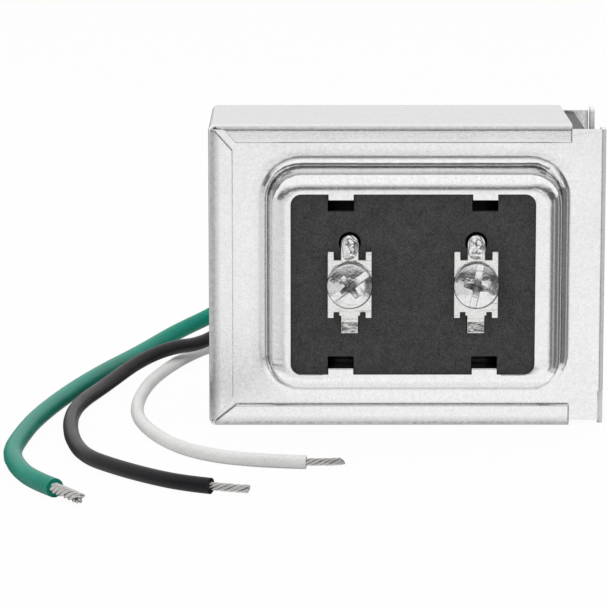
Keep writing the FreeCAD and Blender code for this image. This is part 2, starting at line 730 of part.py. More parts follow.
def winding(name, low, high):
    """A winding on the tube, and the tape round it."""
    coil = new_body(f"{name}_winding")
    ring(coil, WALL, COIL, low, high, CORNER)
    tape = new_body(f"{name}_tape")
    outline = new_sketch(tape, "XY", low)
    for growth, corner in ((f"{COIL} + Sizes.tape", f"{CORNER} + Sizes.tape"), (COIL, CORNER)):
        x, y = ([f"{m} - ({b} + {growth})", f"{m} + ({b} + {growth})"] for m, b in BORE)
        rounded_rectangle(outline, x, y, corner)
    pad(outline, f"{high} - {low}")
    return coil, tape


def rod(name, diameter, x, z, start, end):
    """A round piece along Y."""
    body = new_body(name)
    section = new_sketch(body, "XZ", start)
    circle(section, x, z, diameter)
    pad(section, f"{end} - ({start})")
    return body


def secondary_leads():
    """From the secondary's front, through the board's holes, to the soldered tongues."""
    wire, z = "Sizes.magnet_wire", "Places.solder_z"
    start, end = "Places.board_front", "2 * Places.between - Places.coil_back"
    return group(
        "secondary_leads",
        [rod(f"secondary_lead_{side}", wire, x, z, start, end) for side, x in zip(SIDES, TERMINAL_X)],
    )


def lying_rod(name, diameter, x, length, y, z):
    """A round piece along X."""
    body = new_body(name)
    section = new_sketch(body, "YZ", x)
    circle(section, y, z, diameter)
    pad(section, length)
    return body


def thermal_fuse():
    """On the back of the primary's tape."""
    length = "Sizes.fuse_length"
    start = spread(BOSS_X, length)[0]
    y = f"Places.coil_back + {FIT} + Sizes.fuse_diameter / 2"
    z = f"{MIDDLE} - Sizes.fuse_drop"
    body = lying_rod("thermal_fuse", "Sizes.fuse_diameter", start, length, y, z)
    fillet(body, "0.2 * Sizes.fuse_diameter", lambda edge: edge.Closed)
    return body


def mounting_hub():
    """A nipple with a flange inside the rear cover and a staked bead outside it, turned about its axis."""
    body = new_body("mounting_hub")
    half = new_sketch(body, "XY", "0")
    start = "Places.rear_inside - Sizes.hub_flange_thickness"
    bead = "Sizes.hub_diameter / 2 + Sizes.stake_step"
    polygon(
        half,
        [
            ("Sizes.hub_bore / 2", start),
            ("Sizes.hub_flange / 2", start),
            ("Sizes.hub_flange / 2", "Places.rear_inside"),
            (bead, "Places.rear_inside"),
            (bead, "Places.rear_plateau + Sizes.stake_height"),
            ("Sizes.hub_diameter / 2", "Places.rear_plateau + Sizes.stake_height"),
            ("Sizes.hub_diameter / 2", "Places.hub_end - Sizes.hub_chamfer"),
            ("Sizes.hub_diameter / 2 - Sizes.hub_chamfer", "Places.hub_end"),
            ("Sizes.hub_bore / 2", "Places.hub_end"),
        ],
    )
    revolve(half)
    place(body, BOSS_X, "0", MIDDLE)
    return body


# Where each lead goes through the bushing, from the hub's axis, in degrees round it.
LEADS = {"green": 90, "black": 210, "white": 330}


def lead_place(colour):
    angle = math.radians(LEADS[colour])
    across, up = round(math.cos(angle), 6), round(math.sin(angle), 6)
    return f"{BOSS_X} + {across} * Sizes.lead_circle", f"{MIDDLE} + {up} * Sizes.lead_circle"


def lead_bushing():
    """An insulating plug in the end of the hub, with a hole for each lead."""
    body = new_body("lead_bushing")
    plug = new_sketch(body, "XZ", "Places.bushing_start")
    circle(plug, BOSS_X, MIDDLE, f"Sizes.hub_bore - 2 * {FIT}")
    pad(plug, "Sizes.bushing_length")
    holes = new_sketch(body, "XZ", "Places.bushing_start")
    for colour in LEADS:
        circle(holes, *lead_place(colour), f"Sizes.{colour}_diameter + 2 * {FIT}")
    pocket(holes, "2 * Sizes.bushing_length")
    return body


def tube(label, points, diameter):
    """A round tube on straight runs joined by tangent arcs as large as the runs allow."""
    points = [FreeCAD.Vector(*point) for point in points]
    edges, radii = [], []
    reached = points[0]
    for before, corner, after in zip(points, points[1:], points[2:]):
        toward = (before - corner).normalize()
        away = (after - corner).normalize()
        turn = math.pi - toward.getAngle(away)
        setback = 0.45 * min((corner - before).Length, (after - corner).Length)
        radii.append(setback / math.tan(turn / 2))
        start, end = corner + toward * setback, corner + away * setback
        inward = (toward + away).normalize()
        nearest = corner + inward * (radii[-1] / math.cos(turn / 2) - radii[-1])
        edges += [Part.LineSegment(reached, start).toShape(), Part.Arc(start, nearest, end).toShape()]
        reached = end
    edges.append(Part.LineSegment(reached, points[-1]).toShape())
    path = Part.Wire(edges)
    first = edges[0].tangentAt(edges[0].FirstParameter)
    profile = Part.Wire(Part.makeCircle(diameter / 2, points[0], first))
    feature = doc.addObject("Part::Feature", label)
    feature.Label = label
    feature.Shape = path.makePipeShell([profile], True, False)
    expected = math.pi * diameter**2 / 4 * path.Length
    print(
        f"{label}: {path.Length:.1f} mm long, radii {min(radii):.1f} to {max(radii):.1f},"
        f" volume {feature.Shape.Volume / expected:.4f} of section times length"
    )
    if abs(feature.Shape.Volume / expected - 1) > 0.01:
        raise RuntimeError(f"{label} has the wrong volume")
    return feature


def tail(colour, end_x):
    """A lead's inner end: in through the bushing, then along the back of the coil."""
    x, z = (number(value) for value in lead_place(colour))
    y = number("Places.tail_y")
    route = [(x, number("Places.hub_end"), z), (x, y, z), (number(end_x), y, z)]
    return tube(f"tail_{colour}", route, number(f"Sizes.{colour}_diameter"))


def lead_splices():
    pieces = []
    for colour, x in (
        ("black", f"{BOSS_X} - Sizes.splice_offset - Sizes.splice_length"),
        ("white", f"{BOSS_X} + Sizes.splice_offset"),
    ):
        z = lead_place(colour)[1]
        name = f"splice_{colour}"
        length = "Sizes.splice_length"
        pieces.append(lying_rod(name, "Sizes.splice_diameter", x, length, "Places.tail_y", z))
    return group("lead_splices", pieces)


def ground_lug():
    """A barrel on the green lead's end and a ring under the rivet, joined by a neck."""
    z = lead_place("green")[1]
    ring_x, end = f"{BOSS_X} + Places.lug_offset", f"{BOSS_X} + Places.barrel_end"
    start, length = f"{end} - Sizes.barrel_length", "Sizes.barrel_length"
    body = lying_rod("ground_lug", "Sizes.green_diameter", start, length, "Places.tail_y", z)
    flat = new_sketch(body, "XZ", "Places.rear_inside")
    circle(flat, ring_x, z, "Sizes.lug_diameter")
    pad(flat, "Sizes.lug_sheet", -1)
    neck = new_sketch(body, "XZ", "Places.rear_inside")
    rectangle(
        neck,
        (f"{end} - Sizes.lug_sheet", f"{ring_x} - Sizes.rivet_diameter"),
        spread(z, "0.8 * Sizes.green_diameter"),
    )
    pad(neck, "Places.rear_inside - Places.tail_y", -1)
    hole = new_sketch(body, "XZ", "Places.rear_inside")
    circle(hole, ring_x, z, f"Sizes.rivet_diameter + 2 * {FIT}")
    pocket(hole, "2 * Sizes.lug_sheet", -1)
    return body


def ground_rivet():
    """Through the lug and the rear cover, with a head on each side."""
    body = new_body("ground_rivet")
    half = new_sketch(body, "XY", "0")
    inner, outer = "Places.rear_inside - Sizes.lug_sheet", "Places.rear_plateau"
    polygon(
        half,
        [
            ("0", f"{inner} - Sizes.rivet_head_height"),
            ("Sizes.rivet_head / 2", f"{inner} - Sizes.rivet_head_height"),
            ("Sizes.rivet_head / 2", inner),
            ("Sizes.rivet_diameter / 2", inner),
            ("Sizes.rivet_diameter / 2", outer),
            ("Sizes.rivet_head / 2", outer),
            ("Sizes.rivet_head / 2", f"{outer} + Sizes.rivet_head_height"),
            ("0", f"{outer} + Sizes.rivet_head_height"),
        ],
    )
    revolve(half)
    ends = [number(f"{inner} - Sizes.rivet_head_height"), number(f"{outer} + Sizes.rivet_head_height")]
    fillet(
        body,
        "0.7 * Sizes.rivet_head_height",
        lambda edge: any(on_plane(edge, "Y", end) for end in ends),
    )
    place(body, f"{BOSS_X} + Places.lug_offset", "0", lead_place("green")[1])
    return body


# Each free lead past its straight run: back, down to the floor, and round to the front left.
ROUTES = {
    "green": (
        (-4.0, 46.5, 23.5),
        (-12.5, 54.0, 17.5),
        (-22.5, 57.0, 10.0),
        (-31.0, 53.8, 4.6),
        (-37.6, 46.2, 2.0),
        (-43.2, 34.4, 1.35),
        (-48.3, 18.2, 1.35),
        (-52.6, 0.9, 1.35),
        (-56.3, -18.4, 1.35),
        (-57.9, -34.4, 1.35),
        (-58.1, -42.9, 1.35),
        (-56.4, -51.6, 1.35),
        (-53.4, -59.9, 1.35),
        (-49.8, -65.4, 1.35),
    ),
    "black": (
        (-6.5, 43.0, 17.3),
        (-14.0, 47.0, 12.0),
        (-22.5, 46.6, 6.5),
        (-31.0, 43.2, 2.4),
        (-38.0, 36.0, 1.25),
        (-43.2, 25.2, 1.15),
        (-47.8, 8.3, 1.15),
        (-50.1, -5.3, 1.15),
        (-50.8, -17.5, 1.15),
        (-49.6, -32.0, 1.15),
        (-47.0, -43.8, 1.15),
        (-42.4, -50.8, 1.15),
        (-37.2, -57.0, 1.15),
        (-32.4, -61.4, 1.15),
        (-28.4, -63.3, 1.15),
    ),
    "white": (
        (1.4, 42.0, 18.3),
        (-4.0, 46.2, 13.2),
        (-12.2, 48.4, 7.6),
        (-20.0, 48.5, 3.2),
        (-27.5, 44.5, 1.2),
        (-34.2, 33.0, 1.0),
        (-38.7, 17.4, 1.0),
        (-40.7, 3.4, 1.0),
        (-41.2, -8.4, 1.0),
        (-40.2, -18.5, 1.0),
        (-37.2, -29.3, 1.0),
        (-33.3, -37.8, 1.0),
        (-28.2, -43.2, 1.0),
        (-23.4, -45.5, 1.0),
        (-19.2, -46.7, 1.0),
        (-15.2, -47.2, 1.0),
    ),
}
# Where each bare end stops on the floor.
TIPS = {"green": (-45.9, -70.8, 1.0), "black": (-23.0, -64.2, 0.9), "white": (-9.7, -45.6, 0.8)}


def lead(colour):
    """The insulated lead, from the bushing's face to where it is stripped."""
    x, z = (number(value) for value in lead_place(colour))
    y = number("Places.hub_end")
    route = [(x, y, z), (x, y + number("Sizes.lead_out"), z), *ROUTES[colour]]
    return tube(f"lead_{colour}", route, number(f"Sizes.{colour}_diameter"))


def strands(colour):
    """The stripped end: straight on from the insulation, then bent a little to its tip."""
    before, start = (FreeCAD.Vector(*point) for point in ROUTES[colour][-2:])
    tip = FreeCAD.Vector(*TIPS[colour])
    bend = start + (start - before).normalize() * ((tip - start).Length / 2)
    return tube(f"strands_{colour}", [start, bend, tip], number(f"Sizes.{colour}_strands"))


def main():
    os.makedirs("parts", exist_ok=True)
    places_of_terminals = list(zip(SIDES, TERMINAL_X))
    parts = [case_wrap(), front_cover(), rear_cover(), terminal_board()]
    parts += [terminal(f"terminal_{side}", x) for side, x in places_of_terminals]
    screws = [terminal_screw(f"screw_{side}", x, f"Sizes.{side}_turn") for side, x in places_of_terminals]
    parts.append(group("terminal_screws", screws))
    lumps = [solder_lump(f"solder_{side}", x) for side, x in places_of_terminals]
    parts.append(group("solder_joints", lumps))
    parts += [core_e_stack(), core_i_stack(), bobbin()]
    parts += winding("primary", "Places.primary_low", "Places.primary_high")
    parts += winding("secondary", "Places.secondary_low", "Places.secondary_high")
    parts += [secondary_leads(), thermal_fuse(), mounting_hub(), lead_bushing()]
    parts.append(tail("green", f"{BOSS_X} + Places.barrel_end - Sizes.barrel_length"))
    parts.append(tail("black", f"{BOSS_X} - Sizes.splice_offset"))
    parts.append(tail("white", f"{BOSS_X} + Sizes.splice_offset"))
    parts += [lead_splices(), ground_lug(), ground_rivet()]
    parts += [make(colour) for make in (lead, strands) for colour in LEADS]
    doc.recompute()
    for thing in doc.Objects:
        if "Invalid" in thing.State or "Error" in thing.State:
            raise RuntimeError(f"{thing.Name} failed: {thing.State}")
    for part in parts:
        if part.Shape.isNull() or not part.Shape.isValid():
            raise RuntimeError(f"{part.Label} has no valid shape")
        box = part.Shape.BoundBox
        print(f"{part.Label}: {len(part.Shape.Solids)} solids, {part.Shape.Volume:.1f} mm3, {box}")
    for part in parts:
        part.Shape.exportStep(f"parts/{part.Label}.step")


main()
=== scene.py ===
"""Doorbell transformer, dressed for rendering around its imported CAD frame.

Metres, +Z up, -Y towards the terminals.
"""

import math
from types import SimpleNamespace

import bmesh
import bpy
import numpy as np
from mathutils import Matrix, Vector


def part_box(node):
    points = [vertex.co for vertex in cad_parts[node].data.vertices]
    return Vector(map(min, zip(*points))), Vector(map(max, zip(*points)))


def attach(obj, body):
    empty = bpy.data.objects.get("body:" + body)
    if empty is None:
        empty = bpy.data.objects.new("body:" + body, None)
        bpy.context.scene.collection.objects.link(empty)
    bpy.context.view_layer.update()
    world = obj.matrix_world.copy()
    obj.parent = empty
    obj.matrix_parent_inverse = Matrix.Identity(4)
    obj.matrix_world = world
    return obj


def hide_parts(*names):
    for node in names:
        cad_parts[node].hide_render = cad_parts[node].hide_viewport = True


bl_info = {
    "name": "Doorbell transformer",
    "version": (1, 0, 0),
    "blender": (4, 5, 0),
    "location": "View3D > Sidebar > Transformer",
    "description": "Builds the visible surfaces and finishes of a doorbell transformer on its CAD frame",
    "category": "Object",
}

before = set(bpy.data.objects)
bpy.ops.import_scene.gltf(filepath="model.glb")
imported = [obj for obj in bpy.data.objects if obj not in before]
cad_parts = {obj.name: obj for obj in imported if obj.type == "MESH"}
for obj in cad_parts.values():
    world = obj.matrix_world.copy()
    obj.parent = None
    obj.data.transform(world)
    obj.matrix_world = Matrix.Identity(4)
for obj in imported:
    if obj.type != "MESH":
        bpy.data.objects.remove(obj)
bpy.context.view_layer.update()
MM = 0.001
BODY = "root"


def length_property(name, description, millimetres):
    return bpy.props.FloatProperty(
        name=name,
        description=description,
        default=millimetres * MM,
        min=0,
        precision=5,
        subtype="DISTANCE",
        unit="LENGTH",
    )


def colour_property(name, description, colour):
    return bpy.props.FloatVectorProperty(
        name=name, description=description, default=colour, min=0, max=1, size=3, subtype="COLOR"
    )


class TransformerSizes(bpy.types.PropertyGroup):
    """Sizes of the sheet metal, the screws and the leads that the frame's boxes don't give."""

    sheet: length_property("Sheet", "Thickness of the steel sheet", 0.7)
    bend_radius: length_property("Bend radius", "Outside radius of the folds", 1.0)
    top_hem: length_property("Top lip", "Top lip over a cover", 2.75)
    low_hem: length_property("Bottom lip", "Bottom lip over a cover", 3.3)
    side_hem: length_property("Side lip", "Side lip over a cover", 3.6)
    lip_spring: length_property("Lip spring", "How far a lip's edge stands off its cover", 0.1)
    edge_roll: length_property("Edge roll", "Rounding of the lips' sheared edges", 0.27)
    side_roll: length_property("Side roll", "Rounding of the side lips' sheared edges", 0.12)
    wrap_edge: length_property("Wrap edge", "Broken edges of the wrap", 0.08)
    mitre_drop: length_property("Mitre drop", "Side lip stops this far below the top lip", 1.2)
    mitre_step: length_property("Mitre step", "Top lip stops this far inside the side lip", 0.5)
    mitre_tip: length_property("Mitre tip", "Upper mitre gapes to here along the top fold", 2.6)
    cover_bend: length_property("Cover bend", "Outside radius of the covers' turned edge", 0.9)
    cover_edge: length_property("Cover edge", "Broken edges of the covers", 0.10)
    rim_width: length_property("Rim width", "Foot of the boss outside the opening, at the sides", 4.05)
    rim_tall: length_property("Rim height", "Foot of the boss outside the opening, top and bottom", 3.3)
    boss_right: length_property("Boss to the right", "Middle of the boss past the opening's middle", 0.5)
    boss_up: length_property("Boss upwards", "Middle of the boss above the opening's middle", 0.08)
    boss_draft: length_property("Boss draft", "Run of one boss wall over its depth", 0.8)
    boss_corner: length_property("Boss corner", "Corner radius at the foot of the boss", 5.3)
    ease_run: length_property("Ease run", "Where the flange eases up to the boss", 1.5)
    ease_lift: length_property("Ease lift", "How far the flange eases up", 0.05)
    foot_radius: length_property("Foot radius", "Rounding where the boss meets the flange", 1.6)
    shoulder_radius: length_property("Shoulder radius", "Rounding at the top of the boss", 2.35)
    window_width: length_property("Window width", "Opening for the terminals", 36.2)
    window_tall: length_property("Window height", "Opening for the terminals", 27.0)
    window_corner: length_property("Window corner", "Corner radius of the opening", 1.6)
    tab_width: length_property("Tab width", "Bent tabs that hold the board", 3.7)
    tab_reach: length_property("Tab reach", "Bent tabs, from the opening's edge", 0.95)
    tab_back: length_property("Tab back", "Bent tabs, back from the top of the boss", 3.7)
    tab_spacing: length_property("Tab spacing", "Between the tabs of a pair", 21.3)
    finger_root: length_property("Finger root", "Bend relief above the base", 5.2)
    finger_gap: length_property("Finger gap", "Bend relief's width", 0.1)
    hub_hole: length_property("Hub hole", "Radius of the rear cover's hole", 10.7)
    lamination: length_property("Lamination module", "A side leg's width", 8.7)
    lamination_sheet: length_property("Lamination sheet", "Thickness of one lamination", 0.5)
    lamination_gap: length_property("Lamination gap", "Between two laminations", 0.06)
    plate_sheet: length_property("Plate sheet", "Thickness of the terminal plates", 0.8)
    plate_edge: length_property("Plate edge", "Broken edges of the terminal plates", 0.14)
    tongue_half: length_property("Tongue half width", "Half the width of a plate's tongues", 1.3)
    tongue_up: length_property("Upper tongue", "Upper tongue above the plate's body", 3.75)
    tongue_down: length_property("Lower tongue", "Lower tongue below the plate's body", 2.65)
    tongue_step: length_property("Tongue step", "How far the lower tongue steps back", 0.4)
    ear_width: length_property("Ear width", "Ears at a plate's corners", 0.95)
    ear_rise: length_property("Ear rise", "Upper ears above the plate's body", 1.25)
    ear_drop: length_property("Ear drop", "Lower ears below the plate's body", 0.35)
    notch_width: length_property("Notch width", "Notches beside the lower ears", 0.75)
    notch_tall: length_property("Notch height", "Notches above the lower ears' ends", 0.9)
    solder_wide: length_property("Solder half width", "Half the width of a solder lump", 1.28)
    solder_tall: length_property("Solder half height", "Half the height of a solder lump", 1.86)
    solder_rise: length_property("Solder rise", "Solder over its tongue", 0.62)
    solder_drop: length_property("Solder drop", "Middle of the solder below the tongue's end", 1.88)
    head_radius: length_property("Head radius", "Screw heads", 3.4)
    head_round: length_property("Head rounding", "Rounding at the rim of the screw heads", 0.35)
    slot_width: length_property("Slot width", "Drive slot", 1.05)
    slot_depth: length_property("Slot depth", "Drive slot", 0.95)
    cross_length: length_property("Cross length", "Cross recess, tip to tip", 3.9)
    cross_depth: length_property("Cross depth", "Cross recess at its middle", 1.5)
    cross_arm: length_property("Cross arm", "Half the width of the cross's arms, half way out", 0.42)
    recess_wall: length_property("Recess wall", "Half the run of the drive recesses' walls", 0.05)
    hub_radius: length_property("Hub radius", "Hub over its thread", 10.45)
    hub_bore: length_property("Hub bore", "Radius of the hole through the hub", 7.9)
    hub_flange: length_property("Hub flange", "Thickness of the hub's flange", 0.7)
    bead_height: length_property("Bead height", "Staked bead over the hub", 0.2)
    bead_width: length_property("Bead width", "Staked bead behind the cover", 0.4)
    thread_start: length_property("Thread start", "Plain run behind the cover", 1.2)
    thread_run_in: length_property("Thread run-in", "Run over which the thread deepens", 1.4)
    thread_lead_in: length_property("Thread lead-in", "Chamfer at the hub's end", 0.8)
    thread_pitch: length_property("Thread pitch", "Thread on the hub", 1.81)
    thread_depth: length_property("Thread depth", "Thread on the hub", 0.75)
    lead_circle: length_property("Lead circle", "Leads from the hub's axis", 3.9)
    lead_out: length_property("Lead run", "Straight run of each lead out of the bushing", 7.5)
    strand_hold: length_property("Strand hold", "Strands inside the end of the insulation", 2.0)
    strand_pitch: length_property("Strand pitch", "Run of one twist of the strands", 6.2)


class TransformerColours(bpy.types.PropertyGroup):
    """Base colours of the finishes."""

    steel: colour_property("Steel", "Zinc-plated sheet", (0.955, 0.952, 0.948))
    plate: colour_property("Terminal plate", "Bright nickel plate", (0.80, 0.795, 0.78))
    screw: colour_property("Screw", "Bright zinc plate", (0.84, 0.84, 0.84))
    solder: colour_property("Solder", "Bright solder", (0.92, 0.92, 0.925))
    board: colour_property("Board", "Matt black laminate", (0.050, 0.050, 0.051))
    iron: colour_property("Laminations", "Blued silicon steel", (0.115, 0.117, 0.122))
    hub: colour_property("Hub", "Zinc casting", (0.66, 0.67, 0.68))
    nylon: colour_property("Bushing", "Black nylon", (0.018, 0.018, 0.019))
    green: colour_property("Green lead", "Green insulation", (0.002, 0.235, 0.165))
    black: colour_property("Black lead", "Black insulation", (0.010, 0.009, 0.011))
    white: colour_property("White lead", "White insulation", (0.80, 0.80, 0.79))
    tinned: colour_property("Strands", "Tinned copper strands", (0.62, 0.605, 0.59))
    # The former's black also stands in for the shade inside the case, where the tab slots show it.
    former: colour_property("Coil former", "Black nylon", (0.02, 0.02, 0.02))
    copper: colour_property("Windings", "Enamelled copper wire", (0.50, 0.17, 0.05))
    tape: colour_property("Coil tape", "Black cloth tape", (0.020, 0.020, 0.022))
    resin: colour_property("Fuse", "Moulded resin", (0.62, 0.60, 0.52))


class Wire:
    """A socket of a node tree. Arithmetic on it adds Math nodes."""

    def __init__(self, tree, socket):
        self.tree = tree
        self.socket = socket

    def math(self, operation, *values):
        node = self.tree.nodes.new("ShaderNodeMath")
        node.operation = operation
        for target, value in zip(node.inputs, values):
            feed(self.tree, target, value)
        return Wire(self.tree, node.outputs[0])

    def __add__(self, other):
        return self.math("ADD", self, other)

    __radd__ = __add__

    def __sub__(self, other):
        return self.math("SUBTRACT", self, other)

    def __rsub__(self, other):
        return self.math("SUBTRACT", other, self)

    def __mul__(self, other):
        return self.math("MULTIPLY", self, other)

    __rmul__ = __mul__

    def __truediv__(self, other):
        return self.math("DIVIDE", self, other)

    def clamped(self):
        return self.math("MINIMUM", self.math("MAXIMUM", self, 0.0), 1.0)

    def step(self, low, high):
        """A smooth rise from 0 at low to 1 at high."""
        t = ((self - low) / (high - low)).clamped()
        return t * t * (3 - 2 * t)


def feed(tree, target, value):
    """Links a wire to a socket, or sets the socket's own value."""
    if isinstance(value, Wire):
        tree.links.new(value.socket, target)
    else:
        target.default_value = value


class Nodes:
    """A node tree that is written as expressions."""

    def __init__(self, tree):
        self.tree = tree
        tree.nodes.clear()

    def node(self, kind, settings=None, output=0, **inputs):
        """Adds a node: its settings first, then the values or links of its sockets."""
        node = self.tree.nodes.new(kind)
        for key, value in (settings or {}).items():
            setattr(node, key, value)
        for key, value in inputs.items():
            name = key.replace("_", " ")
            target = node.inputs[int(key[2:])] if key.startswith("in") else node.inputs[name]
            feed(self.tree, target, value)
        return Wire(self.tree, node.outputs[output]) if node.outputs else None

    def position(self, scale=(1, 1, 1), turn=(0, 0, 0)):
        """Object coordinates, stretched and turned."""
        where = self.node("ShaderNodeTexCoord", output=3)
        return self.node("ShaderNodeMapping", Vector=where, Scale=scale, Rotation=turn)

    def noise(self, scale, detail=2.0, roughness=0.5, at=None):
        at = at or self.position()
        return self.node("ShaderNodeTexNoise", Vector=at, Scale=scale, Detail=detail, Roughness=roughness)

    def mix(self, factor, first, second):
        """A colour between two colours."""
        settings = {"data_type": "RGBA"}
        return self.node("ShaderNodeMix", settings, output=2, in0=factor, in6=first, in7=second)

    def bump(self, height, strength, distance, normal=None):
        sockets = {"Height": height, "Strength": strength, "Distance": distance}
        if normal:
            sockets["Normal"] = normal
        return self.node("ShaderNodeBump", **sockets)

    def attribute(self, name):
        return self.node("ShaderNodeAttribute", {"attribute_name": name}, output=2)

    def surface(self, **sockets):
        """Ends the tree in a Principled shader."""
        shader = self.node("ShaderNodeBsdfPrincipled", **sockets)
        self.node("ShaderNodeOutputMaterial", Surface=shader)


def new_material(name):
    material = bpy.data.materials.new(name)
    material.use_nodes = True
    return material, Nodes(material.node_tree)


def rgba(colour, level=1.0):
    return (*(min(channel * level, 1.0) for channel in colour), 1.0)


def steel_finish(colours):
    """Zinc-plated sheet: satin on the flats with a fine grain, polished where the die drew it."""
    material, n = new_material("zinc_plated_sheet")
    drawn, corner, crease, bloom = (n.attribute(mark) for mark in ("drawn", "corner", "crease", "bloom"))
    root = n.node("ShaderNodeAttribute", {"attribute_name": "root"}, output=1)
    grain = n.noise(4200, 2, 0.6)
    cloud = n.noise(260, 3, 0.55)
    rolled = n.noise(900, 2, 0.5, at=n.position((0.05, 1, 1.6)))
    streak = n.noise(2400, 3, 0.6, at=root)
    waves = n.noise(75, 1, 0.4)
    crumple = n.noise(380, 2, 0.5)
    spangle = n.noise(1500, 2, 0.5)
    speck = (2.6 * (grain - 0.5) + 1.4 * (spangle - 0.5) + 0.5).clamped()
    tone = (0.6 * speck + 0.2 * cloud + 0.2 * rolled + 0.6 * drawn * (streak - 0.5)).clamped()
    bright = n.mix(tone, rgba(colours.steel, 0.83), rgba(colours.steel, 1.22))
    # Painted shade: where the mesh marks it, the zinc darkens towards a dark grey, at the lips' edges, on
    # the folds and round the boss's wall.
    shade_depth = (crease * (0.25 + 0.9 * spangle)).clamped()
    base = n.mix(shade_depth, bright, rgba(colours.steel, 0.2))
    rough = 0.26 - 0.13 * drawn + 0.14 * (grain - 0.5) + 0.10 * (cloud - 0.5)
    wavy = n.bump(waves + 3.5 * corner * crumple, 0.5, 0.0003)
    fine = n.bump(grain + 0.5 * rolled + 0.8 * drawn * streak, 0.22, 0.00006, wavy)
    n.surface(Base_Color=base, Metallic=1 - 0.8 * bloom, Roughness=rough.clamped(), Normal=fine)
    return material


def plated_finish(name, colour, roughness, relief):
    """Bright plating with fine scratches and a slightly uneven face."""
    material, n = new_material(name)
    uneven = n.noise(800, 2, 0.5)
    crease = n.attribute("crease")
    speck = n.noise(3800, 3, 0.6)
    scratch = n.noise(2600, 2, 0.6, at=n.position((0.08, 1, 1), (0, 0.6, 0.3)))
    marks = scratch.step(0.56, 0.72)
    tone = (1.5 * (speck - 0.5) + 0.4 * marks + 0.4).clamped()
    base = n.mix(tone, rgba(colour, 1.15), rgba(colour, 0.68))
    # Painted shade where the mesh marks it: round the screw heads' rims and deep in their recesses.
    base = n.mix(crease, base, rgba(colour, 0.12))
    rough = roughness + 0.16 * marks + 0.12 * (speck - 0.5)
    normal = n.bump(marks, 0.25, 0.00002, n.bump(uneven, relief, 0.0002))
    n.surface(Base_Color=base, Metallic=1.0, Roughness=rough.clamped(), Normal=normal)
    return material


def board_finish(colours):
    """Pressed black laminate with a fine mottled grain."""
    material, n = new_material("black_laminate")
    grain = n.noise(3600, 3, 0.7)
    fibre = n.noise(800, 2, 0.5)
    tone = (2.6 * (0.75 * grain + 0.25 * fibre - 0.5) + 0.5).clamped()
    base = n.mix(tone, rgba(colours.board, 0.35), rgba(colours.board, 1.9))
    normal = n.bump(grain, 0.35, 0.00006)
    rough = 0.62 + 0.2 * (fibre - 0.5)
    n.surface(Base_Color=base, Roughness=rough, Normal=normal, Specular_IOR_Level=0.3)
    return material


def insulation_finish(name, colour, roughness, mottle):
    """Extruded insulation: satin, with faint flow lines and scuffed patches."""
    material, n = new_material(name)
    patch = n.noise(140, 3, 0.55)
    grain = n.noise(3000, 3, 0.6)
    tone = (0.8 * (patch - 0.5) + 1.6 * (grain - 0.5) + 0.5).clamped()
    base = n.mix(tone, rgba(colour, 1 - mottle), rgba(colour, 1 + mottle))
    rough = roughness + 0.18 * (patch - 0.5) + 0.10 * (grain - 0.5)
    normal = n.bump(grain + 2 * patch, 0.18, 0.00008)
    n.surface(Base_Color=base, Roughness=rough.clamped(), Normal=normal, Specular_IOR_Level=0.16)
    return material


def grained_finish(name, colour, roughness, metallic=0.0, scale=1500):
    """A plain finish with a mottled tone and a fine grain."""
    material, n = new_material(name)
    grain = n.noise(scale, 4, 0.65)
    cloud = n.noise(scale / 12, 2, 0.5)
    base = n.mix((0.6 * grain + 0.4 * cloud).clamped(), rgba(colour, 0.75), rgba(colour, 1.25))
    rough = roughness + 0.2 * (grain - 0.5)
    normal = n.bump(grain, 0.25, 0.0001)
    n.surface(Base_Color=base, Metallic=metallic, Roughness=rough.clamped(), Normal=normal)
    return material


def striped_finish(name, colour, roughness, metallic, pitch):
    """Fine even lines across Z, as turns of wire or wound tape have."""
    material, n = new_material(name)
    height = n.node("ShaderNodeSeparateXYZ", output=2, Vector=n.position())
    wave = height.math("SINE", height * (2 * math.pi / pitch)) * 0.5 + 0.5
    grain = n.noise(900, 3, 0.6)
    base = n.mix((0.7 * wave + 0.3 * grain).clamped(), rgba(colour, 0.6), rgba(colour, 1.25))
    normal = n.bump(wave, 0.6, pitch / 4)
    rough = roughness + 0.2 * (grain - 0.5)
    n.surface(Base_Color=base, Metallic=metallic, Roughness=rough.clamped(), Normal=normal)
    return material


FINISHES = {}


def finish(name, make, *values):
    """The material of that name, made at its first use."""
    if name not in FINISHES:
        FINISHES[name] = make(*values)
    return FINISHES[name]


def grid_faces(grids):
    """The quads between neighbouring points of each grid, numbered through all the grids."""
    faces, start = [], 0
    for grid in grids:
        rows, cols = grid.shape[:2]
        index = start + np.arange(rows * cols).reshape(rows, cols)
        corners = (index[:-1, :-1], index[1:, :-1], index[1:, 1:], index[:-1, 1:])
        faces.append(np.stack(corners, -1).reshape(-1, 4))
        start += rows * cols
    return np.concatenate(faces)


def grids_mesh(name, grids, inside=None, marks=None):
    """A mesh of grids of points, closed where they meet, facing away from a point inside if one is given.

    Marks are named values of the points, grid by grid: one number each, or three.
    """
    mesh = bpy.data.meshes.new(name)
    points = np.concatenate([grid.reshape(-1, 3) for grid in grids])
    mesh.from_pydata(points, [], grid_faces(grids).tolist())
    for mark, values in (marks or {}).items():
        kind, field = ("FLOAT", "value") if values[0].ndim == 2 else ("FLOAT_VECTOR", "vector")
        layer = mesh.attributes.new(mark, kind, "POINT")
        layer.data.foreach_set(field, np.concatenate([v.ravel() for v in values]).astype(np.float32))
    return tidied(mesh, inside)


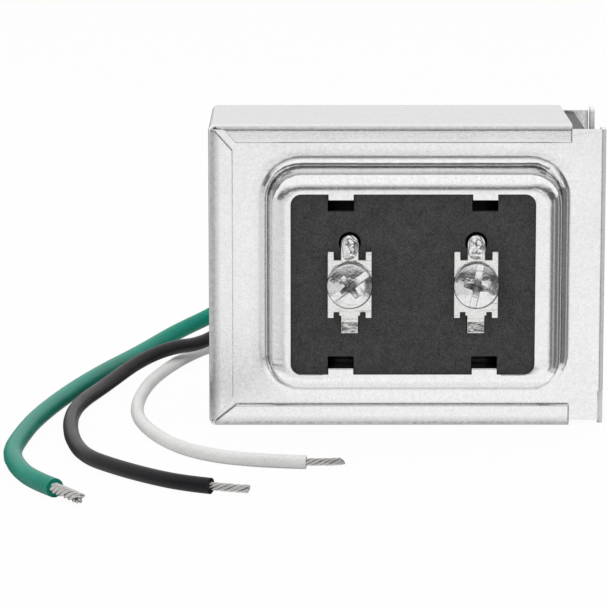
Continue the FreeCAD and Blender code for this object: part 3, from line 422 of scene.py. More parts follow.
def tidied(mesh, inside=None):
    """Merges doubled points, drops empty faces, and turns all faces outwards."""
    work = bmesh.new()
    work.from_mesh(mesh)
    bmesh.ops.remove_doubles(work, verts=work.verts, dist=2e-6)
    bmesh.ops.dissolve_degenerate(work, dist=1e-7, edges=work.edges)
    bmesh.ops.recalc_face_normals(work, faces=work.faces)
    if inside is not None:
        middle = np.array(inside)
        outward = sum(
            np.dot(face.normal, np.array(face.calc_center_median()) - middle) * face.calc_area()
            for face in work.faces
        )
        if outward < 0:
            bmesh.ops.reverse_faces(work, faces=work.faces)
    work.to_mesh(mesh)
    work.free()
    mesh.polygons.foreach_set("use_smooth", np.ones(len(mesh.polygons), bool))
    mesh.update()
    return mesh


def add_piece(name, data, material, slot, *nodes):
    """Puts finished data in the scene, on the body, in place of its CAD nodes."""
    piece = bpy.data.objects.new(name, data)
    bpy.context.scene.collection.objects.link(piece)
    data.materials.append(material)
    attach(piece, BODY)
    if nodes:
        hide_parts(*nodes)
    return piece


def thicken(piece, thickness):
    """Gives a sheet its thickness behind the modelled face."""
    wall = piece.modifiers.new("sheet", "SOLIDIFY")
    wall.thickness = thickness
    wall.offset = -1
    wall.use_even_offset = True
    wall.use_quality_normals = True


def soften_edges(piece, width, segments=2, angle=38):
    """Rounds the cut edges, and keeps the flats flat."""
    bevel = piece.modifiers.new("edges", "BEVEL")
    bevel.width = width
    bevel.segments = segments
    bevel.limit_method = "ANGLE"
    bevel.angle_limit = math.radians(angle)
    bevel.use_clamp_overlap = True
    normals = piece.modifiers.new("normals", "WEIGHTED_NORMAL")
    normals.keep_sharp = True


def arc(start, end, count):
    """Angles in degrees, as radians."""
    return np.radians(np.linspace(start, end, count))


def layout(sizes):
    """Places that the frame's boxes give."""
    wrap_low, wrap_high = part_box("case_wrap")
    cover_low, cover_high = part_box("front_cover")
    board_low, board_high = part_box("terminal_board")
    bushing_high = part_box("lead_bushing")[1]
    return SimpleNamespace(
        left=wrap_low.x,
        wrap_end=wrap_high.x,
        front=wrap_low.y,
        back=wrap_high.y,
        between=(wrap_low.y + wrap_high.y) / 2,
        height=wrap_high.z,
        middle=wrap_high.z / 2,
        right=cover_high.x,
        plateau=cover_low.y,
        return_end=cover_high.y,
        cover_left=cover_low.x,
        cover_low=wrap_high.z - cover_high.z,
        cover_high=cover_high.z,
        flange=wrap_low.y + sizes.sheet,
        boss_x=(board_low.x + board_high.x) / 2,
        hub_end=bushing_high.y,
    )


def corner_start(depth, radius, across, along):
    """How far from the corner a lip begins, at a depth in from the fold: a straight mitre cut."""
    third = radius / 3
    cut = third + (depth - third) * (along - third) / (across - third)
    return np.maximum(radius, cut)


# How far painted shade darkens a lip of each wall: along its edge, and at its ends.
LIP_SHADE = {"top": (0.9, 0.15), "bottom": (0.2, 0.0), "side": (0.0, 0.7)}
# Fractions of an edge's rounding where the lips have points.
EDGE_STEPS = np.array([0, 0.05, 0.15, 0.3, 0.5, 0.75, 1.0])
# The side lips' share of the spring.
SIDE_SPRING = 0.2


class Wrap:
    """The grids of the folded band: three channels and two rounded corners.

    A channel's profile runs from one lip's edge over a fold, the wall and a fold to the other lip's edge.
    It is carried along its wall, and each lip starts where its mitre cut lets it. A mark beside each grid
    says how much painted shade darkens it, at the lips' edges and on the folds.
    """

    def __init__(self, sizes, p):
        self.sizes = sizes
        self.p = p
        self.turn = arc(0, 90, 9)

    def profile(self, hem, roll):
        """Depth in from the wall's outer face, and Y, across a channel."""
        p, r, turn = self.p, self.sizes.bend_radius, self.turn
        lip = np.concatenate([hem - roll * EDGE_STEPS, np.linspace(hem - roll, r, 4)[1:-1]])
        fold = r - r * np.sin(turn)
        depth = np.concatenate([lip, fold, [0], fold[::-1], lip[::-1]])
        front = np.concatenate([np.full(len(lip), p.front), p.front + r - r * np.cos(turn)])
        back = np.concatenate([p.back - r + r * np.cos(turn[::-1]), np.full(len(lip), p.back)])
        return depth, np.concatenate([front, [p.between], back])

    def carried(self, start, end, profile, hem, roll, spring, shade_levels):
        """Places along a channel, its Y, which dips in a quarter round at each free edge, and its painted
        shade.
        """
        p, r = self.p, self.sizes.bend_radius
        depth, y = profile
        ends = roll * EDGE_STEPS[:, None]
        middle = np.linspace(0, 1, 11)[1:-1, None]
        start, end = np.broadcast_arrays(start, end)
        inner = start + roll + middle * (end - start - 2 * roll)
        run = np.concatenate([start + ends, inner, end - ends[::-1]])
        edge, cut = hem - depth, np.minimum(run - start, end - run)
        free = np.clip(np.minimum(edge, cut), 0.01 * roll, roll)
        dip = roll - np.sqrt(roll**2 - (roll - free) ** 2)
        lip = rise(depth, 0.5 * r, r)
        back = dip * lip - spring * np.clip((depth - r) / (hem - r), 0, 1)
        # Painted shade along each lip's free edge and at its cut ends, where the lip stands off its cover.
        shade_marks = [level * (1 - rise(gap, 0.15 * roll, 0.9 * roll)) for gap, level in zip((edge, cut), shade_levels)]
        return run, np.where(y < p.between, y + back, y - back), lip * np.maximum(*shade_marks)

    def fold_shade(self, wall, depth):
        """Painted shade and painted dark reflection on a fold: a line at the top, a low swell at the bottom
        by the floor, a band at the side.
        """
        fold = depth / self.sizes.bend_radius
        if wall == "top":
            return 0.7 * np.exp(-(((fold - 0.5) / 0.28) ** 2))
        if wall == "bottom":
            low = np.clip(fold / 1.8, 0, 1)
            swell_peak = 27 / 256
            return 0.85 * low * (1 - low) ** 3 / swell_peak
        return 0.65 * rise(fold, 0, 0.28) * (1 - rise(fold, 0.98, 1.47))

    def level_channel(self, wall):
        """The top or the bottom, carried along X; the top's mitres gape."""
        s, p, r = self.sizes, self.p, self.sizes.bend_radius
        hem = s.top_hem if wall == "top" else s.low_hem
        mitre_end = s.side_hem + s.mitre_step
        depth, y = self.profile(hem, s.edge_roll)
        if wall == "top":
            start = np.interp(depth, [r / 3, r, hem], [r, s.mitre_tip, mitre_end])
            z = p.height - depth
        else:
            start = corner_start(depth, r, hem, mitre_end)
            z = depth
        edges = hem, s.edge_roll, s.lip_spring, LIP_SHADE[wall]
        x, y, shade_marks = self.carried(p.left + start, p.wrap_end, (depth, y), *edges)
        return np.stack(np.broadcast_arrays(x, y, z), -1), np.maximum(shade_marks, self.fold_shade(wall, depth))

    def side_channel(self):
        """The left side, carried along Z."""
        s, p, r = self.sizes, self.p, self.sizes.bend_radius
        depth, y = self.profile(s.side_hem, s.side_roll)
        low = corner_start(depth, r, s.side_hem, s.low_hem + s.mitre_drop)
        high = p.height - corner_start(depth, r, s.side_hem, s.top_hem + s.mitre_drop)
        edges = s.side_hem, s.side_roll, SIDE_SPRING * s.lip_spring, LIP_SHADE["side"]
        z, y, shade_marks = self.carried(low, high, (depth, y), *edges)
        x = p.left + depth
        return np.stack(np.broadcast_arrays(x, y, z), -1), np.maximum(shade_marks, self.fold_shade("side", depth))

    def corners(self):
        """The two rounded corners at the left: quarter turns of the folds' section between the lips."""
        p, r, turn = self.p, self.sizes.bend_radius, self.turn
        tilt = turn[: len(turn) // 2 + 1]
        sink = r - r * np.sin(tilt)
        reach = np.concatenate([r * np.cos(tilt[::-1]), [r], r * np.cos(tilt)])
        y = np.concatenate([p.front + sink[::-1], [p.between], p.back - sink])
        bend = turn[:, None]
        x = p.left + r - reach * np.cos(bend)
        heights = p.height - r + reach * np.sin(bend), r - reach * np.sin(bend)
        return [np.stack(np.broadcast_arrays(x, y, z), -1) for z in heights]

    def grids(self):
        """All the grids, and the mark of each."""
        channels = [self.level_channel("top"), self.level_channel("bottom"), self.side_channel()]
        corners = [(grid, np.zeros(grid.shape[:2])) for grid in self.corners()]
        return zip(*channels, *corners)


def ring(x, z, radius, across, upward, corner=10):
    """A rounded rectangle as a closed loop of points, with its sides divided at the given fractions."""
    bend = arc(0, 90, corner)[1:-1]
    centre_x = np.array([x[1] - radius, x[0] + radius])
    centre_z = np.array([z[1] - radius, z[0] + radius])
    mid_x, half_x = centre_x.mean(), (centre_x[0] - centre_x[1]) / 2
    mid_z, half_z = centre_z.mean(), (centre_z[0] - centre_z[1]) / 2
    sides = (
        (np.full(len(upward), x[1]), mid_z + half_z * upward),
        (centre_x[0] + radius * np.cos(bend), centre_z[0] + radius * np.sin(bend)),
        (mid_x + half_x * across[::-1], np.full(len(across), z[1])),
        (centre_x[1] - radius * np.sin(bend), centre_z[0] + radius * np.cos(bend)),
        (np.full(len(upward), x[0]), mid_z + half_z * upward[::-1]),
        (centre_x[1] - radius * np.cos(bend), centre_z[1] - radius * np.sin(bend)),
        (mid_x + half_x * across, np.full(len(across), z[0])),
        (centre_x[0] + radius * np.sin(bend), centre_z[1] - radius * np.cos(bend)),
    )
    loop = np.concatenate([np.stack(side, -1) for side in sides])
    return np.concatenate([loop, loop[:1]])


# How far the dies polished the sheet, from satin at 0 to fully drawn at 1.
POLISH = {"wrap": 0.1, "flange": 0.15, "window": 0.12, "turned": 0.25}
# A painted dark line on the boss's wall, standing in for shade and dark reflection.
WALL_SHADE_LEVEL, WALL_SHADE_WIDTH = 0.9, 0.5 * MM


def boss_profile(sizes, depth):
    """Inset from the foot of the boss, height over the flange, and how far the die drew the sheet.

    The section is the flange, which eases up as the square of its run, a foot arc, the drafted wall,
    a shoulder arc and the top.
    """
    slope = math.atan2(depth, sizes.boss_draft)
    foot, shoulder = sizes.foot_radius, sizes.shoulder_radius
    foot_run, shoulder_run = foot * math.tan(slope / 2), shoulder * math.tan(slope / 2)
    rise = np.linspace(0, slope, 11)
    fall = rise[::-1]
    sections = (
        (foot * np.sin(rise) - foot_run, sizes.boss_draft + shoulder_run - shoulder * np.sin(fall)),
        (foot - foot * np.cos(rise), depth - shoulder + shoulder * np.cos(fall)),
        (np.sin(rise / slope * math.pi / 2), np.cos((1 - fall / slope) * math.pi / 2)),
    )
    inset, height, drawn = (
        np.concatenate([low, np.linspace(low[-1], high[0], 11)[1:-1], high]) for low, high in sections
    )
    ease = np.linspace(0, 1, 7)[:-1]
    inset = np.concatenate([inset[0] - sizes.ease_run * (1 - ease), inset])
    settle = sizes.ease_lift * np.clip(1 - np.arange(len(height)) / len(rise), 0, 1)
    height = np.concatenate([sizes.ease_lift * ease**2, height + settle])
    drawn = np.concatenate([np.zeros(len(ease)), drawn])
    return inset, height, np.maximum(drawn, POLISH["flange"])


class Cover:
    """The grids of one drawn cover, in the front cover's place."""

    def __init__(self, sizes, p):
        self.sizes = sizes
        self.p = p
        tab = np.array([-1, 1]) * sizes.tab_width / 2 + sizes.tab_spacing / 2
        self.tab_fractions = tab / (sizes.window_width / 2 - sizes.window_corner)
        edges = np.concatenate([[-1], -self.tab_fractions[::-1], self.tab_fractions, [1]])
        self.across = np.unique(np.concatenate([np.linspace(a, b, 5) for a, b in zip(edges, edges[1:])]))
        root = (sizes.finger_root - p.middle) / (p.cover_high - p.middle)
        self.upward = np.concatenate([np.linspace(-1, root, 4)[:-1], np.linspace(root, 1, 14)])

    def loop(self, x, z, radius, y):
        """A ring at one depth."""
        points = ring(x, z, radius, self.across, self.upward)
        return np.insert(points, 1, y, axis=1)

    def boss_loop(self, inset, height):
        s, p = self.sizes, self.p
        half_x = s.window_width / 2 + s.rim_width - inset
        half_z = s.window_tall / 2 + s.rim_tall - inset
        middle_x, middle_z = p.boss_x + s.boss_right, p.middle + s.boss_up
        x, z = (middle_x - half_x, middle_x + half_x), (middle_z - half_z, middle_z + half_z)
        return self.loop(x, z, s.boss_corner - inset, p.flange - height)

    def window_loop(self):
        s, p = self.sizes, self.p
        x = (p.boss_x - s.window_width / 2, p.boss_x + s.window_width / 2)
        z = (p.middle - s.window_tall / 2, p.middle + s.window_tall / 2)
        return self.loop(x, z, s.window_corner, p.plateau)

    def hole_loop(self, radius):
        """The top of the boss round a central hole: each point of the window's ring moved in to a circle."""
        p = self.p
        outward = self.window_loop() - (p.boss_x, p.plateau, p.middle)
        circle = outward / np.linalg.norm(outward, axis=1)[:, None] * radius
        return circle + (p.boss_x, p.plateau, p.middle)

    def body(self, inner):
        """Rings from the edge of the flange, up the boss, to the inner loop."""
        s, p = self.sizes, self.p
        inset, height, drawn = boss_profile(s, p.flange - p.plateau)
        level = np.concatenate([[0], height, height[-1:]])
        edge = self.loop((p.cover_left, p.right - s.cover_bend), (p.cover_low, p.cover_high), 0, p.flange)
        loops = [edge, *(self.boss_loop(e, h) for e, h in zip(inset, height)), inner]
        polish = np.concatenate([[0], drawn, [POLISH["window"]]])
        grid = np.stack(loops)
        foot = self.boss_loop(0, 0)
        # Painted shade: a dark line round the boss's wall, at the foot rounding's height over the flange.
        crease = WALL_SHADE_LEVEL * np.exp(-(((level - s.foot_radius) / WALL_SHADE_WIDTH) ** 2))
        half = np.array([s.window_width / 2 + s.rim_width, 0, s.window_tall / 2 + s.rim_tall])
        past = np.abs(foot - (p.boss_x, 0, p.middle)) - half + s.boss_corner
        past = np.clip(past, 0, None) / s.boss_corner
        corner = 2 * past[:, 0] * past[:, 2]
        marks = {
            "drawn": np.repeat(polish[:, None], grid.shape[1], 1),
            "corner": polish[:, None] * corner,
            "crease": np.repeat(crease[:, None], len(foot), 1),
            "root": np.broadcast_to(foot, grid.shape),
        }
        return grid, marks

    def turned_edge(self):
        """The flange turned back at the right: a quarter bend, then flat, carried up the edge."""
        s, p = self.sizes, self.p
        r = s.cover_bend
        bend = arc(0, 90, 8)
        x = np.append(p.right - r + r * np.sin(bend), p.right)
        y = np.append(p.flange + r - r * np.cos(bend), p.return_end)
        z = p.middle + (p.cover_high - p.middle) * self.upward
        z = z[z >= s.finger_root - 1e-6]
        return np.stack(np.broadcast_arrays(x, y, z[:, None]), -1)

    def bloom(self, grid):
        """How far the bend cracked the zinc: most at the turned edge, where the sheet faces the right."""
        s, p = self.sizes, self.p
        return rise(grid[..., 0], p.right - 0.75 * s.cover_bend, p.right - 0.45 * s.cover_bend)

    def relief_edge(self):
        """The flange beside the bend relief, up to the gap."""
        s, p = self.sizes, self.p
        x = np.array([p.right - s.cover_bend, p.right - s.sheet - s.finger_gap])
        z = p.middle + (p.cover_high - p.middle) * self.upward
        z = z[z <= s.finger_root + 1e-6]
        return np.stack(np.broadcast_arrays(x, p.flange, z[:, None]), -1)

    def finger(self):
        """The flange's end below the bend relief: a strip whose lower corners are rounded."""
        s, p = self.sizes, self.p
        r = s.bend_radius
        low = r * (1 - np.cos(arc(0, 90, 9)))
        z = np.append(low, s.finger_root)[:, None]
        trim = np.append(r * (1 - np.sin(arc(0, 90, 9))), 0)[:, None]
        near, far = p.flange + r + trim, p.return_end - trim
        y = near + np.linspace(0, 1, 5) * (far - near)
        return np.stack(np.broadcast_arrays(p.right, y, z), -1)

    def tabs(self):
        """The four bent tabs: out from the opening's edge, a quarter bend, and back through the board."""
        s, p = self.sizes, self.p
        r = 0.35 * s.sheet
        bend = arc(0, 90, 7)
        reach = np.concatenate([[0], s.tab_reach - r + r * np.sin(bend), [s.tab_reach]])
        y = np.concatenate([[0], r - r * np.cos(bend), [s.tab_back]]) + p.plateau
        first, last = self.tab_fractions
        inside = (self.across >= first - 1e-9) & (self.across <= last + 1e-9)
        columns = self.across[inside] * (s.window_width / 2 - s.window_corner)
        grids = []
        for side in (-1, 1):
            for up in (-1, 1):
                x = p.boss_x + side * columns[:, None]
                z = p.middle + up * (s.window_tall / 2 - reach)
                grids.append(np.stack(np.broadcast_arrays(x, y, z), -1))
        return grids


def cover_mesh(name, cover, inner, extra, turn_over):
    """One cover's mesh; the rear one is the same stamping turned over about X."""
    p = cover.p
    body, body_marks = cover.body(inner)
    others = [cover.turned_edge(), cover.relief_edge(), cover.finger(), *extra]
    marks = {
        "drawn": [body_marks["drawn"], *(np.full(grid.shape[:2], POLISH["turned"]) for grid in others)],
        "corner": [body_marks["corner"], *(np.zeros(grid.shape[:2]) for grid in others)],
        "crease": [body_marks["crease"], *(np.zeros(grid.shape[:2]) for grid in others)],
        "bloom": [np.zeros(body.shape[:2]), *(cover.bloom(grid) for grid in others)],
        "root": [body_marks["root"], *others],
    }
    grids = [body, *others]
    if turn_over:
        grids = [np.array([0, 2 * p.between, p.height]) + grid * (1, -1, -1) for grid in grids]
    return grids_mesh(name, grids, (p.boss_x, p.between, p.middle), marks)


def plates_mesh(name, outlines):
    """Plates: outlines carried along X (axis 0) or Y (axis 1) between two places, capped and walled."""
    points, faces = [], []
    for outline, near, far, axis in outlines:
        count, start = len(outline), sum(len(block) for block in points)
        points += [np.insert(outline, axis, near, axis=1), np.insert(outline, axis, far, axis=1)]
        first = np.arange(count) + start
        second = np.roll(first, -1)
        faces += [first[::-1].tolist(), (first + count).tolist()]
        faces += np.stack([first, second, second + count, first + count], -1).tolist()
    mesh = bpy.data.meshes.new(name)
    mesh.from_pydata(np.concatenate(points), [], faces)
    return tidied(mesh)


def full_turn(count):
    return np.linspace(0, 2 * math.pi, count)


def rise(value, low, high):
    """A smooth step from 0 to 1."""
    t = np.clip((value - low) / (high - low), 0, 1)
    return t * t * (3 - 2 * t)


class PieceOperator(bpy.types.Operator):
    """Shared by the operators that make pieces."""

    bl_options = {"REGISTER", "UNDO"}

    def execute(self, context):
        sizes, colours = context.scene.transformer_sizes, context.scene.transformer_colours
        self.build(sizes, colours, layout(sizes))
        return {"FINISHED"}


class TRANSFORMER_OT_wrap(PieceOperator):
    """The folded band with its mitred lips"""

    bl_idname = "transformer.wrap"
    bl_label = "Case wrap"

    def build(self, sizes, colours, p):
        grids, shade_marks = Wrap(sizes, p).grids()
        polish = [np.full(grid.shape[:2], POLISH["wrap"]) for grid in grids]
        marks = {"drawn": polish, "crease": shade_marks}
        mesh = grids_mesh("case_wrap_sheet", grids, (p.boss_x, p.between, p.middle), marks)
        steel = finish("steel", steel_finish, colours)
        piece = add_piece("case_wrap_sheet", mesh, steel, "galvanised_steel", "case_wrap")
        thicken(piece, sizes.sheet)
        soften_edges(piece, sizes.wrap_edge)


class TRANSFORMER_OT_covers(PieceOperator):
    """The two drawn covers"""

    bl_idname = "transformer.covers"
    bl_label = "Drawn covers"

    def build(self, sizes, colours, p):
        cover = Cover(sizes, p)
        steel = finish("steel", steel_finish, colours)
        for side, inner, extra in (
            ("front", cover.window_loop(), cover.tabs()),
            ("rear", cover.hole_loop(sizes.hub_hole), []),
        ):
            name = f"{side}_cover_sheet"
            mesh = cover_mesh(name, cover, inner, extra, side == "rear")
            piece = add_piece(name, mesh, steel, "galvanised_steel", f"{side}_cover")
            thicken(piece, sizes.sheet)
            soften_edges(piece, sizes.cover_edge)


# Keeps two faces that lie in one plane apart.
FACE_GAP = 0.02 * MM
# The lower tongues lean out by this share of their length.
TONGUE_LEAN = 0.14


class TRANSFORMER_OT_terminals(PieceOperator):
    """The board, the terminal plates and their solder"""

    bl_idname = "transformer.terminals"
    bl_label = "Board and terminals"

    def build(self, sizes, colours, p):
        paint_node("terminal_board", finish("board", board_finish, colours))
        plate = finish("plate", plated_finish, "nickel_plate", colours.plate, 0.16, 0.35)
        solder = finish("solder", plated_finish, "solder", colours.solder, 0.16, 0.4)
        lumps = []
        for side in ("left", "right"):
            low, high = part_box(f"terminal_{side}")
            mesh = plates_mesh(f"{side}_terminal_plate", self.outlines(sizes, low, high))
            piece = add_piece(f"{side}_terminal_plate", mesh, plate, "terminal_plate", f"terminal_{side}")
            soften_edges(piece, sizes.plate_edge, 3)
            lumps.append(self.lump(sizes, (low.x + high.x) / 2, low.y, high.z, len(lumps)))
        mesh = grids_mesh("solder_lumps", lumps)
        add_piece("solder_lumps", mesh, solder, "solder", "solder_joints")

    @staticmethod
    def outlines(sizes, low, high):
        """The eared plate with its round upper tongue, and the lower tongue that steps back."""
        x = (low.x + high.x) / 2
        half, tongue, sheet = (high.x - low.x) / 2, sizes.tongue_half, sizes.plate_sheet
        ear, notch = half - sizes.ear_width, half - sizes.ear_width - sizes.notch_width
        body_high, body_low = high.z - sizes.tongue_up, low.z + sizes.tongue_down
        ear_high, ear_low = body_high + sizes.ear_rise, body_low - sizes.ear_drop
        notch_high = ear_low + sizes.notch_tall
        tip = arc(0, 180, 13)
        cap = np.stack([tongue * np.cos(tip), high.z - tongue + tongue * np.sin(tip)], -1)
        right = np.array(
            [
                (notch, body_low),
                (notch, notch_high),
                (ear, notch_high),
                (ear, ear_low),
                (half, ear_low),
                (half, ear_high),
                (ear, ear_high),
                (ear, body_high),
                (tongue, body_high),
            ]
        )
        outline = np.concatenate([right, cap, right[::-1] * (-1, 1)]) + (x, 0)
        below = np.linspace(-0.3 * MM, body_low - low.z, 23)
        y = low.y + FACE_GAP + sizes.tongue_step * rise(below, 0.1 * MM, 0.9 * MM)
        y -= TONGUE_LEAN * np.clip(below - 0.6 * MM, 0, None)
        front = np.stack([y, body_low - below], -1)
        side = np.concatenate([front, front[::-1] + (sheet - 5 * FACE_GAP, 0)])
        return [(outline, low.y, low.y + sheet, 1), (side, x - tongue, x + tongue, 0)]

    @staticmethod
    def lump(sizes, x, y, top, seed):
        """A blob on the tongue: a half egg whose radius and height ripple round it."""
        turn, out = np.meshgrid(full_turn(61), np.linspace(0, 1, 26), indexing="ij")
        ripple = 1 + 0.07 * np.sin(3 * turn + 1.3 + seed) + 0.05 * np.sin(5 * turn + 2.1 * seed)
        swell = 1 + 0.16 * np.sin(6 * out + 2 * turn + seed) + 0.12 * np.cos(3 * turn - 4 * out + seed)
        across = sizes.solder_wide * ripple * out * np.cos(turn)
        up = sizes.solder_tall * ripple * out * np.sin(turn)
        height = sizes.solder_rise * np.sqrt(1 - out**2) * swell
        return np.stack([x + across, y - height + FACE_GAP, top - sizes.solder_drop + up], -1)


# How each screw's slot is turned, and how steep a head is at its rounded rim, in degrees.
SLOT_TURNS = {"left": 36.7, "right": 79.5}
HEAD_SLOPE = 24


class TRANSFORMER_OT_screws(PieceOperator):
    """The two pan-head terminal screws"""

    bl_idname = "transformer.screws"
    bl_label = "Terminal screws"

    def build(self, sizes, colours, p):
        bright = finish("screw", plated_finish, "bright_zinc", colours.screw, 0.17, 0.6)
        heads_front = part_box("terminal_screws")[0].y
        grids, head_shades = [], []
        for side, turn in SLOT_TURNS.items():
            plate_low, plate_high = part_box(f"terminal_{side}")
            grid = self.head(sizes, plate_low.y - heads_front, math.radians(turn))
            head_shades.append(self.rim(sizes, grid))
            grids.append(grid + ((plate_low.x + plate_high.x) / 2, plate_low.y, p.middle))
        mesh = grids_mesh("screw_heads", grids, marks={"crease": head_shades})
        add_piece("screw_heads", mesh, bright, "screw", "terminal_screws")
        mesh.set_sharp_from_angle(angle=math.radians(50))

    @staticmethod
    def rim(sizes, grid):
        """Painted shade of a head: a dark rim for its contact shadow, widest at the lower right, and
        darkness by the depth of its cross.
        """
        x, z = grid[..., 0], grid[..., 2]
        out = np.hypot(x, z)
        toward = 0.5 + 0.5 * (x - z) / np.maximum(math.sqrt(2) * out, 1e-9)
        edge = sizes.head_radius - sizes.head_round * (0.35 + 0.5 * toward)
        fade = 0.1 * MM
        # Painted contact shadow round the head's rim, deepest at the lower right.
        rim = (0.45 + 0.55 * toward) * rise(out, edge - fade, edge + 2 * fade)
        sunk = grid[..., 1] - grid[..., 1].min() - sizes.slot_depth
        # Painted shade deep in the cross recess.
        recess = 0.85 * rise(sunk, 0.5 * fade, 4 * fade) * (out < 0.55 * sizes.cross_length)
        return np.maximum(rim, recess)

    @staticmethod
    def head(sizes, height, turn):
        """A domed head as height over a disc, less a slot right across and a cross that deepens inwards."""
        radius, rounding, wall = sizes.head_radius, sizes.head_round, sizes.recess_wall
        slope = math.radians(HEAD_SLOPE)
        dome = (radius - rounding * (1 - math.sin(slope))) / math.sin(slope)
        lean = np.linspace(0, slope, 90)
        edge = np.linspace(slope, math.pi / 2, 12)[1:]
        edge_out = (dome - rounding) * math.sin(slope) + rounding * np.sin(edge)
        edge_fall = (dome - rounding) * (1 - math.cos(slope)) + rounding * (1 - np.cos(edge))
        out = np.concatenate([dome * np.sin(lean), edge_out, [radius, radius * 0.55]])
        fall = np.concatenate([dome * (1 - np.cos(lean)), edge_fall, [height, height]])
        top = height - fall
        angle = full_turn(361)[:, None]
        along, across = out * np.cos(angle - turn), out * np.sin(angle - turn)
        slot = 1 - rise(np.abs(across), sizes.slot_width / 2 - wall, sizes.slot_width / 2 + wall)
        arms = np.zeros_like(along)
        for a, b in ((along, across), (across, along)):
            taper = sizes.cross_arm * (1.25 - np.abs(a) / sizes.cross_length)
            arm = 1 - rise(np.abs(b), taper - wall, taper + wall)
            end = 1 - rise(np.abs(a), sizes.cross_length / 2 - 2 * wall, sizes.cross_length / 2 + wall)
            arms = np.maximum(arms, arm * end)
        depth = sizes.cross_depth * (1.15 - 1.2 * out / sizes.cross_length)
        level = np.minimum(top, np.where(slot > 0, height - sizes.slot_depth * slot, top))
        level = np.minimum(level, height - np.maximum(depth, 0) * arms)
        level = np.maximum(level, 0)
        return np.stack([out * np.cos(angle), -level, out * np.sin(angle)], -1)


class TRANSFORMER_OT_core(PieceOperator):
    """The laminated core, sheet by sheet, and what sits inside the case"""

    bl_idname = "transformer.core"
    bl_label = "Core and coil"

    def build(self, sizes, colours, p):
        # In lamination modules, across and up from the core's middle.
        half_e = np.array([(3, -2.5), (3, 1.5), (2, 1.5), (2, -1.5), (1, -1.5), (1, 1.5)])
        outlines = {
            "core_e_stack": np.concatenate([half_e, half_e[::-1] * (-1, 1)]),
            "core_i_stack": np.array([(-3, 1.5), (3, 1.5), (3, 2.5), (-3, 2.5)]),
        }
        iron = finish("iron", grained_finish, "silicon_steel", colours.iron, 0.38, 0.9, 1200)
        for node, outline in outlines.items():
            low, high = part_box(node)
            count = round((high.y - low.y) / sizes.lamination_sheet)
            starts = np.linspace(low.y, high.y, count + 1)
            inset = sizes.lamination_gap / 2
            shape = outline * sizes.lamination + (p.boss_x, p.middle)
            plates = [(shape, a + inset, b - inset, 1) for a, b in zip(starts, starts[1:])]
            add_piece(f"{node}_sheets", plates_mesh(node, plates), iron, "lamination", node)
        # Its black also stands in for the shade inside the case seen through the tab slots.
        paint_node("bobbin", finish("former", grained_finish, "coil_former", colours.former, 0.45))
        copper = finish("copper", striped_finish, "enamelled_wire", colours.copper, 0.3, 1.0, 0.0004)
        tape = finish("tape", striped_finish, "coil_tape", colours.tape, 0.6, 0.0, 0.005)
        for winding in ("primary", "secondary"):
            paint_node(f"{winding}_winding", copper)
            paint_node(f"{winding}_tape", tape)
        paint_node("secondary_leads", copper)
        paint_node("thermal_fuse", finish("fuse", grained_finish, "fuse_resin", colours.resin, 0.35))
        tin = finish("tin", plated_finish, "tinned_sleeve", colours.tinned, 0.25, 0.4)
        paint_node("lead_splices", tin)
        paint_node("ground_lug", tin)


class TRANSFORMER_OT_hub(PieceOperator):
    """The threaded hub, the bushing and the ground rivet at the back"""

    bl_idname = "transformer.hub"
    bl_label = "Hub and bushing"

    def build(self, sizes, colours, p):
        low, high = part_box("mounting_hub")
        cast = finish("hub", grained_finish, "zinc_casting", colours.hub, 0.36, 1.0, 1700)
        nylon = finish("nylon", grained_finish, "black_nylon", colours.nylon, 0.42, 0.0, 1400)
        mesh = grids_mesh("hub_nipple", [self.nipple(sizes, p, low, high)])
        add_piece("hub_nipple", mesh, cast, "hub", "mounting_hub")
        mesh.set_sharp_from_angle(angle=math.radians(35))
        paint_node("lead_bushing", nylon)
        paint_node("ground_rivet", finish("steel", steel_finish, colours))

    @staticmethod
    def nipple(sizes, p, low, high):
        """A closed profile turned about the hub's axis; the nipple's radius follows a helical thread."""
        flange, radius, bore = (high.x - low.x) / 2, sizes.hub_radius, sizes.hub_bore
        bead, seat = radius + sizes.bead_height, low.y + sizes.hub_flange
        cover = seat + sizes.sheet
        thread_start, bead_end = cover + sizes.thread_start, cover + sizes.bead_width
        thread_y = np.linspace(thread_start, high.y, 120)
        turns = full_turn(145)[:, None]
        wave = np.abs(((thread_y / sizes.thread_pitch - turns / (2 * math.pi)) % 1) - 0.5) * 2
        run_in = rise(thread_y, thread_start, thread_start + sizes.thread_run_in)
        lead_in = sizes.thread_lead_in * rise(thread_y, high.y - sizes.thread_lead_in, high.y)
        thread = radius - run_in * sizes.thread_depth * rise(wave, 0.15, 0.85) - lead_in
        plain = np.array(
            [
                (bore, high.y),
                (bore, low.y),
                (flange, low.y),
                (flange, seat),
                (bead, seat),
                (bead, bead_end),
                (radius, bead_end),
            ]
        )
        count = len(turns)
        radii = np.concatenate([np.tile(plain[:, 0], (count, 1)), thread, np.full((count, 1), bore)], 1)
        y = np.concatenate([plain[:, 1], thread_y, [high.y]])
        return np.stack(
            np.broadcast_arrays(p.boss_x + radii * np.cos(turns), y, p.middle + radii * np.sin(turns)), -1
        )


